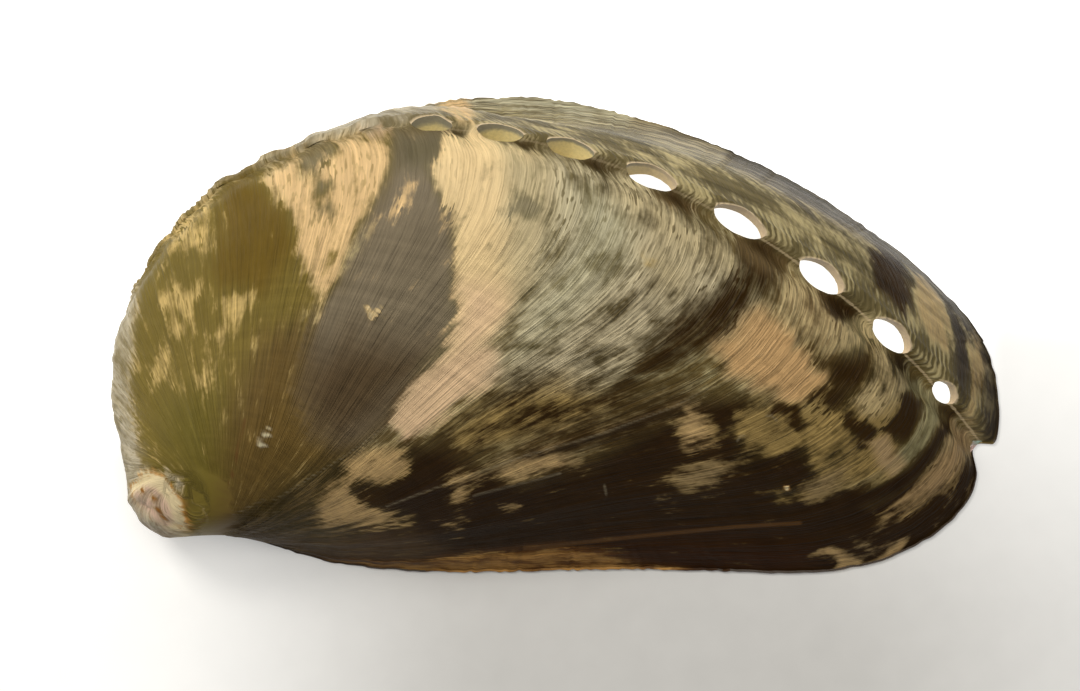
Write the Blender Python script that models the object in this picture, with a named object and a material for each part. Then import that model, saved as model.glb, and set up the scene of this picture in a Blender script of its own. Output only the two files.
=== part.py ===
"""Donkey's ear abalone shell: one thin, ear-shaped dome with a row of holes, open below.

+X points to the growing edge, +Y to the row of holes and +Z up. The rim lies flat on Z = 0.
The shell grew as a spiral: each older edge is the youngest one, turned about the coil's axis
and shrunk towards the apex. Sizes in the constants are millimetres and angles are degrees.
"""
import math

import bpy
import numpy as np
from mathutils import Matrix, Vector
from mathutils.bvhtree import BVHTree

MM = 0.001

# The youngest edge seen from above, from the row of holes past the front, the outer band and
# the spire, and back along the inner lip
EDGE_OUTLINE = (
    (45.2, -10.0), (46.4, -10.1), (46.9, -8.7), (47.0, -6.1), (46.6, -2.9), (45.5, 0.3),
    (43.6, 3.1), (41.0, 5.8), (37.4, 9.1), (33.8, 11.8), (28.7, 15.2), (23.6, 18.0),
    (16.4, 21.2), (8.2, 23.8), (2.0, 25.1), (-3.1, 25.4), (-9.2, 24.3), (-15.4, 21.8),
    (-21.5, 18.0), (-27.2, 13.0), (-32.0, 7.5), (-35.6, 2.0), (-38.4, -3.0), (-39.6, -7.6),
    (-39.8, -11.7), (-38.1, -16.1), (-35.7, -18.6), (-32.3, -19.3), (-28.5, -20.1),
    (-21.5, -22.2), (-14.3, -23.0), (-7.2, -23.2), (10.2, -22.9), (25.6, -23.3),
    (31.8, -22.8), (36.9, -21.3), (41.0, -18.9), (43.6, -16.3), (44.8, -13.4), (44.3, -10.6),
)
EDGE_SAMPLES = 150
SPAN_STEPS = 24

# Older edges had a narrower band outside the holes: how far it is drawn in, and by which turn
BAND_START = (46.4, -10.1)
BAND_END = (-3.1, 25.4)
BAND_PULL = (-2.0, -1.4)
BAND_PULL_TURN = 60.0
BAND_PULL_POWER = 1.4

# The coil: the apex, the lean and heading of its axis, and the growth rate for each radian
APEX = (-38.4, -15.8, 18.4)
AXIS_LEAN = 45.0
AXIS_HEADING = 221.5
GROWTH_RATE = 0.479
TURN_START = -9.0
TURN_END = 333.0
TURN_STEP = 3.0

# Heights are eased down, and further down towards the spire
HEIGHT_FACTOR = 0.93
SPIRE_FACTOR = 0.72
SPIRE_X = -42.0
FULL_HEIGHT_X = 0.0

# The blunt knob of the spire, which holds the oldest whorls
KNOB_CENTRE = (-35.6, -15.0, 6.2)
KNOB_RADII = (6.6, 6.6, 6.6)
KNOB_STEPS = 48
KNOB_RINGS = 24
KNOB_BLEND = 14.0
BLEND_PASSES = 4

# The wall, and the shelf that the inner lip makes under the rim
WALL = 1.1
SHELF_WIDTH = 4.0
SHELF_FULL_HEIGHT = 0.6
SHELF_HEIGHT = 2.8
SHELF_FROM = 128.0
SHELF_TO = 318.0
SHELF_FADE = 34.0

# The dome's middle and reach, used to lay an even net of quads over it
NET_CENTRE = (2.0, 0.5)
NET_REACH = (46.0, 25.0, 21.0)
NET_LENGTH = 52
NET_WIDTH = 28

# How far to each side of a place on the row of holes its directions are measured
ROW_TURN = 2.0
ROW_SAMPLES = 5

# The open holes: turn on the coil, length along the row and width, youngest first
HOLES = (
    (6.6, 3.0, 2.2),
    (14.5, 5.2, 2.9),
    (23.8, 5.3, 3.0),
    (34.0, 5.6, 2.9),
    (44.8, 5.1, 2.7),
    (54.8, 4.6, 2.5),
    (64.4, 4.4, 2.4),
    (73.6, 3.9, 2.2),
)
HOLE_SIDES = 20
HOLE_REACH = 5.0
RIM_RADIUS = 0.5
RIM_SIDES = 6
RIM_STEPS = 14

# The healed holes are low knobs further up the spiral
HEALED_TURNS = (82.6, 92.1, 101.6, 112.8, 124.2, 135.4, 146.4)
HEALED_LENGTH = 4.6
HEALED_WIDTH = 2.9
HEALED_RISE = 0.7
HEALED_STEPS = 10
HEALED_RINGS = 6

# A ball stops this share of a ring short of its two end points
POLE_GAP = 0.02

SHELL_COLOUR = (0.17, 0.13, 0.07, 1.0)
SHELL_ROUGHNESS = 0.38


def clear_scene():
    """Empty the scene of what a new file holds."""
    for item in list(bpy.data.objects):
        bpy.data.objects.remove(item, do_unlink=True)


def smooth(value, low, high):
    """Ease from 0 at low to 1 at high."""
    t = np.clip((value - low) / (high - low), 0.0, 1.0)
    return t * t * (3.0 - 2.0 * t)


def closed_curve(points, samples):
    """Points at even spacing along a smooth closed curve through the given ones."""
    points = np.array(points, float)
    fine = []
    t = np.arange(SPAN_STEPS)[:, None] / SPAN_STEPS
    for i in range(len(points)):
        a, b, c, d = (points[(i + k) % len(points)] for k in (-1, 0, 1, 2))
        fine.append(0.5 * (2 * b + (c - a) * t + (2 * a - 5 * b + 4 * c - d) * t ** 2
                           + (3 * b - a - 3 * c + d) * t ** 3))
    fine = np.concatenate(fine)
    gaps = np.linalg.norm(np.roll(fine, -1, axis=0) - fine, axis=1)
    along = np.concatenate([[0.0], np.cumsum(gaps)])
    wanted = np.linspace(0.0, along[-1], samples, endpoint=False)
    around = np.vstack([fine, fine[:1]])
    return np.stack([np.interp(wanted, along, around[:, k]) for k in range(2)], axis=1)


def band_weight(edge):
    """How much each point of the edge belongs to the band that older edges draw in."""
    first = int(np.argmin(np.linalg.norm(edge - np.array(BAND_START), axis=1)))
    last = int(np.argmin(np.linalg.norm(edge - np.array(BAND_END), axis=1)))
    part = np.clip((np.arange(len(edge)) - first) / (last - first), 0.0, 1.0)
    return np.sin(math.pi * np.sqrt(part)).clip(0.0) ** BAND_PULL_POWER


def coil_axis():
    """The coil's axis as a unit vector."""
    lean = math.radians(AXIS_LEAN)
    heading = math.radians(AXIS_HEADING)
    return Vector((math.sin(lean) * math.cos(heading), math.sin(lean) * math.sin(heading),
                   math.cos(lean)))


def ease_heights(points):
    """Lower the heights, and lower them more towards the spire."""
    points = points.copy()
    share = smooth(points[..., 0], SPIRE_X, FULL_HEIGHT_X)
    points[..., 2] *= HEIGHT_FACTOR * (SPIRE_FACTOR + (1.0 - SPIRE_FACTOR) * share)
    return points


class Coil:
    """The surface that the edge swept as the shell grew."""

    def __init__(self):
        edge = closed_curve(EDGE_OUTLINE, EDGE_SAMPLES)
        self.pull = band_weight(edge)[:, None] * np.array(BAND_PULL)
        self.edge = edge
        self.apex = np.array(APEX)
        self.axis = coil_axis()

    def edge_at(self, turn):
        """The edge as it was at a turn, in degrees back from the youngest one."""
        flat = self.edge + self.pull * smooth(turn, 0.0, BAND_PULL_TURN)
        points = np.column_stack([flat, np.zeros(len(flat))]) - self.apex
        spin = np.array(Matrix.Rotation(math.radians(turn), 3, self.axis))
        shrink = math.exp(-GROWTH_RATE * math.radians(turn))
        return ease_heights(self.apex + shrink * points @ spin.T)

    def surface(self):
        """All the edges, as rows of points."""
        turns = np.arange(TURN_START, TURN_END + TURN_STEP / 2, TURN_STEP)
        return np.array([self.edge_at(turn) for turn in turns])

    def frame_at(self, turn):
        """A point on the row of holes, the row's direction there and the way out of the shell."""
        here = self.edge_at(turn)
        along = self.edge_at(turn - ROW_TURN)[0] - self.edge_at(turn + ROW_TURN)[0]
        across = here[ROW_SAMPLES] - here[-ROW_SAMPLES]
        out = np.cross(across, along)
        along = along / np.linalg.norm(along)
        out = out / np.linalg.norm(out)
        return here[0], along, out * np.sign(out[2])


def grid_faces(rows, columns, closed=False):
    """Quads of a grid of points, closed round its columns when asked."""
    faces = []
    for i in range(rows - 1):
        for j in range(columns if closed else columns - 1):
            k = (j + 1) % columns
            faces.append((i * columns + j, i * columns + k, (i + 1) * columns + k,
                          (i + 1) * columns + j))
    return faces


def ball(centre, radii, steps, rings):
    """Points and quads of an ellipsoid without its two end points."""
    points = []
    for i in range(rings + 1):
        down = math.pi * (i + POLE_GAP) / (rings + 2 * POLE_GAP)
        for j in range(steps):
            turn = 2 * math.pi * j / steps
            points.append((centre[0] + radii[0] * math.sin(down) * math.cos(turn),
                           centre[1] + radii[1] * math.sin(down) * math.sin(turn),
                           centre[2] + radii[2] * math.cos(down)))
    return np.array(points), grid_faces(rings + 1, steps, closed=True)


def grown_tree(coil):
    """A search tree of the swept surface and the knob of the spire."""
    swept = coil.surface()
    rows, columns = swept.shape[:2]
    points = swept.reshape(-1, 3)
    faces = grid_faces(rows, columns, closed=True)
    knob_points, knob_faces = ball(KNOB_CENTRE, KNOB_RADII, KNOB_STEPS, KNOB_RINGS)
    faces += [tuple(k + len(points) for k in face) for face in knob_faces]
    points = np.vstack([points, knob_points])
    return BVHTree.FromPolygons([Vector(p) for p in points], faces)


def net_reaches():
    """How far the net reaches out from its centre in each direction, as an even dome."""
    reaches = np.zeros((NET_LENGTH + 1, NET_WIDTH + 1, 3))
    for i in range(NET_LENGTH + 1):
        for j in range(NET_WIDTH + 1):
            u = 2.0 * i / NET_LENGTH - 1.0
            v = 2.0 * j / NET_WIDTH - 1.0
            x = u * math.sqrt(1.0 - v * v / 2.0)
            y = v * math.sqrt(1.0 - u * u / 2.0)
            down = min(math.hypot(x, y), 1.0) * math.pi / 2
            heading = math.atan2(y, x)
            reaches[i, j] = (NET_REACH[0] * math.sin(down) * math.cos(heading),
                             NET_REACH[1] * math.sin(down) * math.sin(heading),
                             NET_REACH[2] * math.cos(down))
    reaches[rim_mask(), 2] = 0.0
    return reaches


def blend_knob(share, net):
    """Ease the knob of the spire into the whorl round it."""
    away = np.linalg.norm(net - np.array(KNOB_CENTRE), axis=2)
    weight = 1.0 - smooth(away, KNOB_BLEND / 2, KNOB_BLEND)
    for _ in range(BLEND_PASSES):
        wide = np.pad(share, 1, mode="edge")
        around = (wide[:-2, 1:-1] + wide[2:, 1:-1] + wide[1:-1, :-2] + wide[1:-1, 2:]) / 4
        share = share + weight * (around - share)
    return share


def outer_net(tree):
    """The outside of the shell, met by rays that run in from all round the dome."""
    centre = Vector((*NET_CENTRE, 0.0))
    reaches = net_reaches()
    share = np.zeros(reaches.shape[:2])
    for i, j in np.ndindex(*share.shape):
        reach = Vector(reaches[i, j])
        hit = tree.ray_cast(centre + 2.0 * reach, -reach)[0]
        share[i, j] = (hit - centre).length / reach.length
    net = np.array(centre) + reaches * share[..., None]
    return np.array(centre) + reaches * blend_knob(share, net)[..., None]


def rim_mask():
    """The net's own border, which is the rim of the shell."""
    mask = np.zeros((NET_LENGTH + 1, NET_WIDTH + 1), bool)
    mask[[0, -1], :] = True
    mask[:, [0, -1]] = True
    return mask


def net_normals(net):
    """The way out of the shell at each point of the net."""
    faces = np.cross(net[1:, 1:] - net[:-1, :-1], net[:-1, 1:] - net[1:, :-1])
    out = np.zeros_like(net)
    for part in (out[:-1, :-1], out[1:, :-1], out[:-1, 1:], out[1:, 1:]):
        part += faces
    return out / np.linalg.norm(out, axis=2, keepdims=True)


def shelf_share(net):
    """How much of the inner lip's shelf each point of the net has, by its place round the rim."""
    x = (net[..., 0] - NET_CENTRE[0]) / NET_REACH[0]
    y = (net[..., 1] - NET_CENTRE[1]) / NET_REACH[1]
    heading = np.degrees(np.arctan2(y, x)) % 360.0
    return smooth(heading, SHELF_FROM, SHELF_FROM + SHELF_FADE) * \
        smooth(-heading, -SHELF_TO, SHELF_FADE - SHELF_TO)


def inner_net(net):
    """The inside of the shell: one wall thickness in, with the shelf low along the inner lip."""
    out = net_normals(net)
    level = out.copy()
    level[..., 2] = 0.0
    level /= np.maximum(np.linalg.norm(level, axis=2, keepdims=True), 1e-6)
    height = net[..., 2]
    lift = smooth(height, 0.0, 2.0 * WALL)[..., None]
    inward = level * (1.0 - lift) + out * lift
    inward /= np.linalg.norm(inward, axis=2, keepdims=True)
    shelf = SHELF_WIDTH - WALL
    extra = shelf * shelf_share(net) * (1.0 - smooth(height, SHELF_FULL_HEIGHT, SHELF_HEIGHT))
    inner = net - inward * WALL - level * extra[..., None]
    around = (inner[:-2, 1:-1] + inner[2:, 1:-1] + inner[1:-1, :-2] + inner[1:-1, 2:]) / 4
    inner[1:-1, 1:-1] = (inner[1:-1, 1:-1] + around) / 2
    inner[rim_mask(), 2] = 0.0
    return inner


def border_loop():
    """The net's border points in order, counter-clockwise from above."""
    loop = [(i, 0) for i in range(NET_LENGTH)]
    loop += [(NET_LENGTH, j) for j in range(NET_WIDTH)]
    loop += [(i, NET_WIDTH) for i in range(NET_LENGTH, 0, -1)]
    loop += [(0, j) for j in range(NET_WIDTH, 0, -1)]
    return [i * (NET_WIDTH + 1) + j for i, j in loop]


def wall_mesh(outer, inner):
    """Points and faces of the closed wall between the two nets."""
    rows, columns = outer.shape[:2]
    count = rows * columns
    out_faces = [tuple(reversed(face)) for face in grid_faces(rows, columns)]
    in_faces = [tuple(k + count for k in face) for face in grid_faces(rows, columns)]
    loop = border_loop()
    rim_faces = []
    for a, b in zip(loop, loop[1:] + loop[:1]):
        rim_faces.append((b, a, a + count, b + count))
    points = np.vstack([outer.reshape(-1, 3), inner.reshape(-1, 3)])
    return points, out_faces + in_faces + rim_faces


def place(points, centre, along, out):
    """Move points from a hole's own axes (along the row, across it, out) to the shell."""
    across = np.cross(out, along)
    return centre + points[:, :1] * along + points[:, 1:2] * across + points[:, 2:3] * out


def hole_cutter(length, width):
    """An upright elliptic plug that cuts a hole."""
    points = []
    for height in (-HOLE_REACH, HOLE_REACH):
        for k in range(HOLE_SIDES):
            turn = 2 * math.pi * k / HOLE_SIDES
            points.append((length / 2 * math.cos(turn), width / 2 * math.sin(turn), height))
    faces = grid_faces(2, HOLE_SIDES, closed=True)
    faces.append(tuple(reversed(range(HOLE_SIDES))))
    faces.append(tuple(range(HOLE_SIDES, 2 * HOLE_SIDES)))
    return np.array(points), faces


def hole_rim(length, width):
    """A low ring that thickens the wall round a hole."""
    points = []
    for i in range(RIM_STEPS):
        turn = 2 * math.pi * i / RIM_STEPS
        for j in range(RIM_SIDES):
            roll = 2 * math.pi * j / RIM_SIDES
            reach = RIM_RADIUS * (0.5 + math.cos(roll))
            points.append(((length / 2 + reach) * math.cos(turn),
                           (width / 2 + reach) * math.sin(turn), RIM_RADIUS * math.sin(roll)))
    points += points[:RIM_SIDES]
    faces = grid_faces(RIM_STEPS + 1, RIM_SIDES, closed=True)
    last = RIM_STEPS * RIM_SIDES
    faces = [tuple(k % last for k in reversed(face)) for face in faces]
    return np.array(points[:last]), faces


def healed_knob(scale):
    """A low closed knob over a healed hole."""
    radii = (HEALED_LENGTH * scale / 2, HEALED_WIDTH * scale / 2, HEALED_RISE * scale)
    points, faces = ball((0.0, 0.0, 0.0), radii, HEALED_STEPS, HEALED_RINGS)
    faces = [tuple(reversed(face)) for face in faces]
    faces.append(tuple(range(HEALED_STEPS)))
    faces.append(tuple(reversed(range(len(points) - HEALED_STEPS, len(points)))))
    return points, faces


def make_object(name, parts):
    """One object from a list of closed meshes, each a pair of points and faces."""
    points = []
    faces = []
    for part_points, part_faces in parts:
        start = len(points)
        points += [tuple(p * MM) for p in part_points]
        faces += [tuple(k + start for k in face) for face in part_faces]
    mesh = bpy.data.meshes.new(name)
    mesh.from_pydata(points, [], faces)
    mesh.update()
    item = bpy.data.objects.new(name, mesh)
    bpy.context.scene.collection.objects.link(item)
    return item


def add_tool(shell, tool, operation):
    """Join a tool to the shell, or cut the shell with it."""
    tool.hide_render = True
    tool.display_type = "WIRE"
    change = shell.modifiers.new(tool.name, "BOOLEAN")
    change.operation = operation
    change.solver = "EXACT"
    change.object = tool


def shell_material():
    """Olive brown shell with a soft gloss."""
    material = bpy.data.materials.new("olive_shell")
    material.use_nodes = True
    shader = material.node_tree.nodes["Principled BSDF"]
    shader.inputs["Base Color"].default_value = SHELL_COLOUR
    shader.inputs["Roughness"].default_value = SHELL_ROUGHNESS
    shader.inputs["Metallic"].default_value = 0.0
    return material


def build_shell():
    """Make the shell and set it down with its box on the origin."""
    coil = Coil()
    outer = outer_net(grown_tree(coil))
    inner = inner_net(outer)
    low = outer.min(axis=(0, 1))
    high = outer.max(axis=(0, 1))
    shift = np.array([-(low[0] + high[0]) / 2, -(low[1] + high[1]) / 2, 0.0])
    outer = outer + shift
    inner = inner + shift
    shell = make_object("shell", [wall_mesh(outer, inner)])
    rims = []
    cutters = []
    for turn, length, width in HOLES:
        centre, along, out = coil.frame_at(turn)
        for pieces, shape in ((rims, hole_rim), (cutters, hole_cutter)):
            points, faces = shape(length, width)
            pieces.append((place(points, centre + shift, along, out), faces))
    for turn in HEALED_TURNS:
        centre, along, out = coil.frame_at(turn)
        scale = math.exp(-GROWTH_RATE * math.radians(turn - HEALED_TURNS[0]))
        points, faces = healed_knob(scale)
        rims.append((place(points, centre + shift, along, out), faces))
    add_tool(shell, make_object("hole_rims", rims), "UNION")
    add_tool(shell, make_object("hole_cutters", cutters), "DIFFERENCE")
    shell.data.materials.append(shell_material())
    shell.data.shade_smooth()
    return shell


clear_scene()
build_shell()
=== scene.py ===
"""Donkey's ear abalone shell: its outside, its nacre and the studio that it is seen in.

+X points to the growing edge, +Y to the row of holes and +Z up. Sizes in the classes are
millimetres and angles are degrees, and a mesh is turned into metres as it is made. The coil's
own places are measured from a point on the floor under the camera, and HOME moves them to the
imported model's place.
"""

import logging
import math
from collections.abc import Iterable, Sequence
from dataclasses import dataclass, field
from enum import Enum, IntEnum

import bpy
import numpy as np
from mathutils import Matrix, Vector
from mathutils.bvhtree import BVHTree


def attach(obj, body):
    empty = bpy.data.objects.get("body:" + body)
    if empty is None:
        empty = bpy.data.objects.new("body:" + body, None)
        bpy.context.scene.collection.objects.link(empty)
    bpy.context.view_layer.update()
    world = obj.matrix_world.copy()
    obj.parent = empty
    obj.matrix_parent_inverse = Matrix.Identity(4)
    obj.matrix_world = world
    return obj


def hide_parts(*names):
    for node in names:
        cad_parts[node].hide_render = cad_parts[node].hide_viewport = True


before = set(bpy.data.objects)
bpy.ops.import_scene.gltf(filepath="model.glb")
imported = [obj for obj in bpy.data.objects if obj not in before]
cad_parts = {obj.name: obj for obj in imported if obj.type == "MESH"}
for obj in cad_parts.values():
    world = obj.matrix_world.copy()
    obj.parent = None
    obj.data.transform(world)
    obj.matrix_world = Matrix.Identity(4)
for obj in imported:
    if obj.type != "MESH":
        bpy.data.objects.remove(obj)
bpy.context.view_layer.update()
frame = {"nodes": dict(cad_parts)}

Array = np.ndarray
Pair = tuple[float, float]
Triple = tuple[float, float, float]
Points = Sequence[Pair]
Faces = list[tuple[int, ...]]

MM = 0.001
HOME = np.array([-1.80, -1.07, 0.0])
EYE_HEIGHT = 600.0
PHOTO_WIDTH = 1080
PHOTO_MM = 0.1025
CURVE_STEPS = 24
LATTICE_SIZE = 256
NOISE_SPREAD = 2.1
NEAR_ZERO = 1e-6
SMALLEST_AREA = 1e-12
ROW_STEP = 2.0
SIDE_SHARE = 30
STAND_DEPTH = 3.0
TENTHS = 10

log = logging.getLogger("abalone")


def smooth(value: Array, low: float, high: float) -> Array:
    """Ease from 0 at low to 1 at high.

    Args:
        value: The numbers to ease.
        low: Where the ease starts.
        high: Where it ends.

    Returns:
        The eased numbers.
    """
    t = np.clip((value - low) / (high - low), 0.0, 1.0)
    return t * t * (3.0 - 2.0 * t)


def closed_curve(points: Points, samples: int) -> Array:
    """Lay points at even spacing along a smooth closed curve through the given ones.

    Args:
        points: The points that the curve passes.
        samples: How many points to lay.

    Returns:
        One row for each point.
    """
    knots = np.array(points, float)
    t = np.linspace(0.0, 1.0, CURVE_STEPS, endpoint=False)[:, None]
    spans = []
    for i in range(len(knots)):
        a, b, c, d = (knots[(i + k) % len(knots)] for k in (-1, 0, 1, 2))
        spans.append(0.5 * (2 * b + (c - a) * t + (2 * a - 5 * b + 4 * c - d) * t ** 2
                            + (3 * b - a - 3 * c + d) * t ** 3))
    fine = np.concatenate(spans)
    gaps = np.linalg.norm(np.roll(fine, -1, axis=0) - fine, axis=1)
    along = np.concatenate([[0.0], np.cumsum(gaps)])
    wanted = np.linspace(0.0, along[-1], samples, endpoint=False)
    around = np.vstack([fine, fine[:1]])
    return np.stack([np.interp(wanted, along, around[:, k]) for k in range(2)], axis=1)


def rough_field(places: Array, seed: int) -> Array:
    """Smooth random values over a plane, one bump to each unit.

    Args:
        places: Rows of two coordinates.
        seed: Picks the pattern.

    Returns:
        Values from -1 to 1, one for each place.
    """
    size = LATTICE_SIZE
    lattice = np.random.default_rng(seed).uniform(-1.0, 1.0, (size, size))
    cell = np.floor(places).astype(int)
    part = places - cell
    part = part * part * (3.0 - 2.0 * part)
    i, j = cell[:, 0] % size, cell[:, 1] % size
    k, m = (i + 1) % size, (j + 1) % size
    low = lattice[i, j] * (1 - part[:, 0]) + lattice[k, j] * part[:, 0]
    high = lattice[i, m] * (1 - part[:, 0]) + lattice[k, m] * part[:, 0]
    return low * (1 - part[:, 1]) + high * part[:, 1]


def neighbours(grid: Array) -> Array:
    """The mean of the four neighbours of each point inside a grid's border."""
    return (grid[:-2, 1:-1] + grid[2:, 1:-1] + grid[1:-1, :-2] + grid[1:-1, 2:]) / 4


def as_seen(places: Array) -> Array:
    """Where places appear on the floor to an eye above it.

    Args:
        places: Rows of three coordinates from the point under the camera.

    Returns:
        Rows of two coordinates on the floor.
    """
    return places[:, :2] * (EYE_HEIGHT / (EYE_HEIGHT - places[:, 2:3]))


class Tint(Enum):
    """The shell's colours, as they look in daylight."""

    OLIVE_BROWN = "#6a5a34"
    GREEN_CREAM = "#a59b74"
    BAND_OLIVE = "#6a5f3e"
    BAND_CREAM = "#b0a277"
    OUTER_GREY = "#6a5f46"
    GREY_CREAM = "#aea180"
    OUTER_DARK = "#41392b"
    DULL_GREY = "#746a55"
    PALE_GREY = "#b0a68e"
    OUTER_OLIVE = "#857853"
    OLIVE = "#75662f"
    YELLOW_TAN = "#c2a86c"
    WEDGE_OLIVE = "#6a561f"
    GREEN_OLIVE = "#6b6028"
    CREAM_TAN = "#d9b987"
    OLIVE_GREY = "#7b7052"
    WEDGE_GREY = "#7b705c"
    WEDGE_OLIVE_GREY = "#665e47"
    WEDGE_BROWN = "#544530"
    FAN_BROWN = "#66522a"
    GREEN_GREY = "#7b7352"
    CREAM = "#e5cb9a"
    CREAM_DULL = "#bfb08a"
    PATCH_GREY = "#8f8569"
    PINK_CREAM = "#dfc09a"
    BROWN = "#5c4526"
    STREAK_DARK = "#5d5237"
    STREAK_LIGHT = "#bdb192"
    MIST_GREEN = "#b9b395"
    DEEP_BROWN = "#36250c"
    CHECK_TAN = "#98814f"
    STREAK_BROWN = "#6b5838"
    BLACK_BROWN = "#2e1e0b"
    RED_BROWN = "#351c07"
    SHEEN_BROWN = "#57432b"
    DEEP_OLIVE = "#43381c"
    RUST = "#5e3c18"
    ORANGE_BROWN = "#a37a42"
    LOW_TAN = "#c0a271"
    ORANGE_TAN = "#cfa976"
    ROW_TAN = "#bba77b"
    ROW_GREEN = "#8c8562"
    DULL_PINK_TAN = "#b0966e"
    DULL_TAN = "#95805a"
    LIP_TAN = "#a08660"
    DEEP_GREY = "#40372c"
    BAND_TAN = "#b19a6e"
    CAP_ORANGE = "#c48f4c"
    CAP_CREAM = "#e2d1a8"
    CAP_GREY = "#a3917a"
    CAP_PINK = "#c9ac98"
    CAP_BROWN = "#92601c"
    CHIP_WHITE = "#c9c4a8"
    NACRE_SILVER = "#b9bab2"
    NACRE_PINK = "#c9a9a4"
    NACRE_GREEN = "#93b0a0"
    NACRE_TAN = "#b79a66"
    HOLE_CREAM = "#d6c2a0"
    HOLE_PINK = "#d3bd9c"
    HOLE_GREY = "#9c9680"
    HOLE_TAN = "#e8d89c"
    RIDGE_CREAM = "#d8c39c"
    LINE_PALE = "#a99f86"
    LINE_BROWN = "#6a4a28"
    FLOOR_WHITE = "#d6d7d8"
    FLOOR_GREY = "#d2d3d4"

    @property
    def linear(self) -> Triple:
        """The colour in linear light."""
        parts = (int(self.value[k:k + 2], 16) / 255 for k in (1, 3, 5))
        return tuple(p / 12.92 if p < 0.04 else ((p + 0.055) / 1.055) ** 2.4 for p in parts)


class Skin(IntEnum):
    """The shell's material slots, in the order that its mesh holds them."""

    OUTSIDE = 0
    NACRE = 1
    WALL = 2


class Signal:
    """The output of a shader node, which takes Python's operators."""

    def __init__(self, bench: "Bench", socket: bpy.types.NodeSocket) -> None:
        """Keep the socket and the bench that its nodes are made on."""
        self.bench = bench
        self.socket = socket

    def maths(self, operation: str, *values: "Signal | float") -> "Signal":
        """Run one Math node.

        Args:
            operation: The node's operation.
            values: What goes into its sockets, in order.

        Returns:
            The node's result.
        """
        return self.bench.node("ShaderNodeMath", {"operation": operation}, dict(enumerate(values)))

    def __add__(self, other: "Signal | float") -> "Signal":
        """self + other."""
        return self.maths("ADD", self, other)

    def __radd__(self, other: float) -> "Signal":
        """other + self."""
        return self.maths("ADD", other, self)

    def __sub__(self, other: "Signal | float") -> "Signal":
        """self - other."""
        return self.maths("SUBTRACT", self, other)

    def __rsub__(self, other: float) -> "Signal":
        """other - self."""
        return self.maths("SUBTRACT", other, self)

    def __mul__(self, other: "Signal | float") -> "Signal":
        """self * other."""
        return self.maths("MULTIPLY", self, other)

    def __abs__(self) -> "Signal":
        """The value without its sign."""
        return self.maths("ABSOLUTE", self)

    def wave(self) -> "Signal":
        """The sine of the value, which is in radians."""
        return self.maths("SINE", self)

    def ease(self, low: "Signal | float", high: "Signal | float") -> "Signal":
        """Ease from 0 at low to 1 at high.

        Args:
            low: Where the ease starts.
            high: Where it ends.

        Returns:
            The eased value.
        """
        settings = {"interpolation_type": "SMOOTHSTEP"}
        return self.bench.node("ShaderNodeMapRange", settings, {0: self, 1: low, 2: high})


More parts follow.
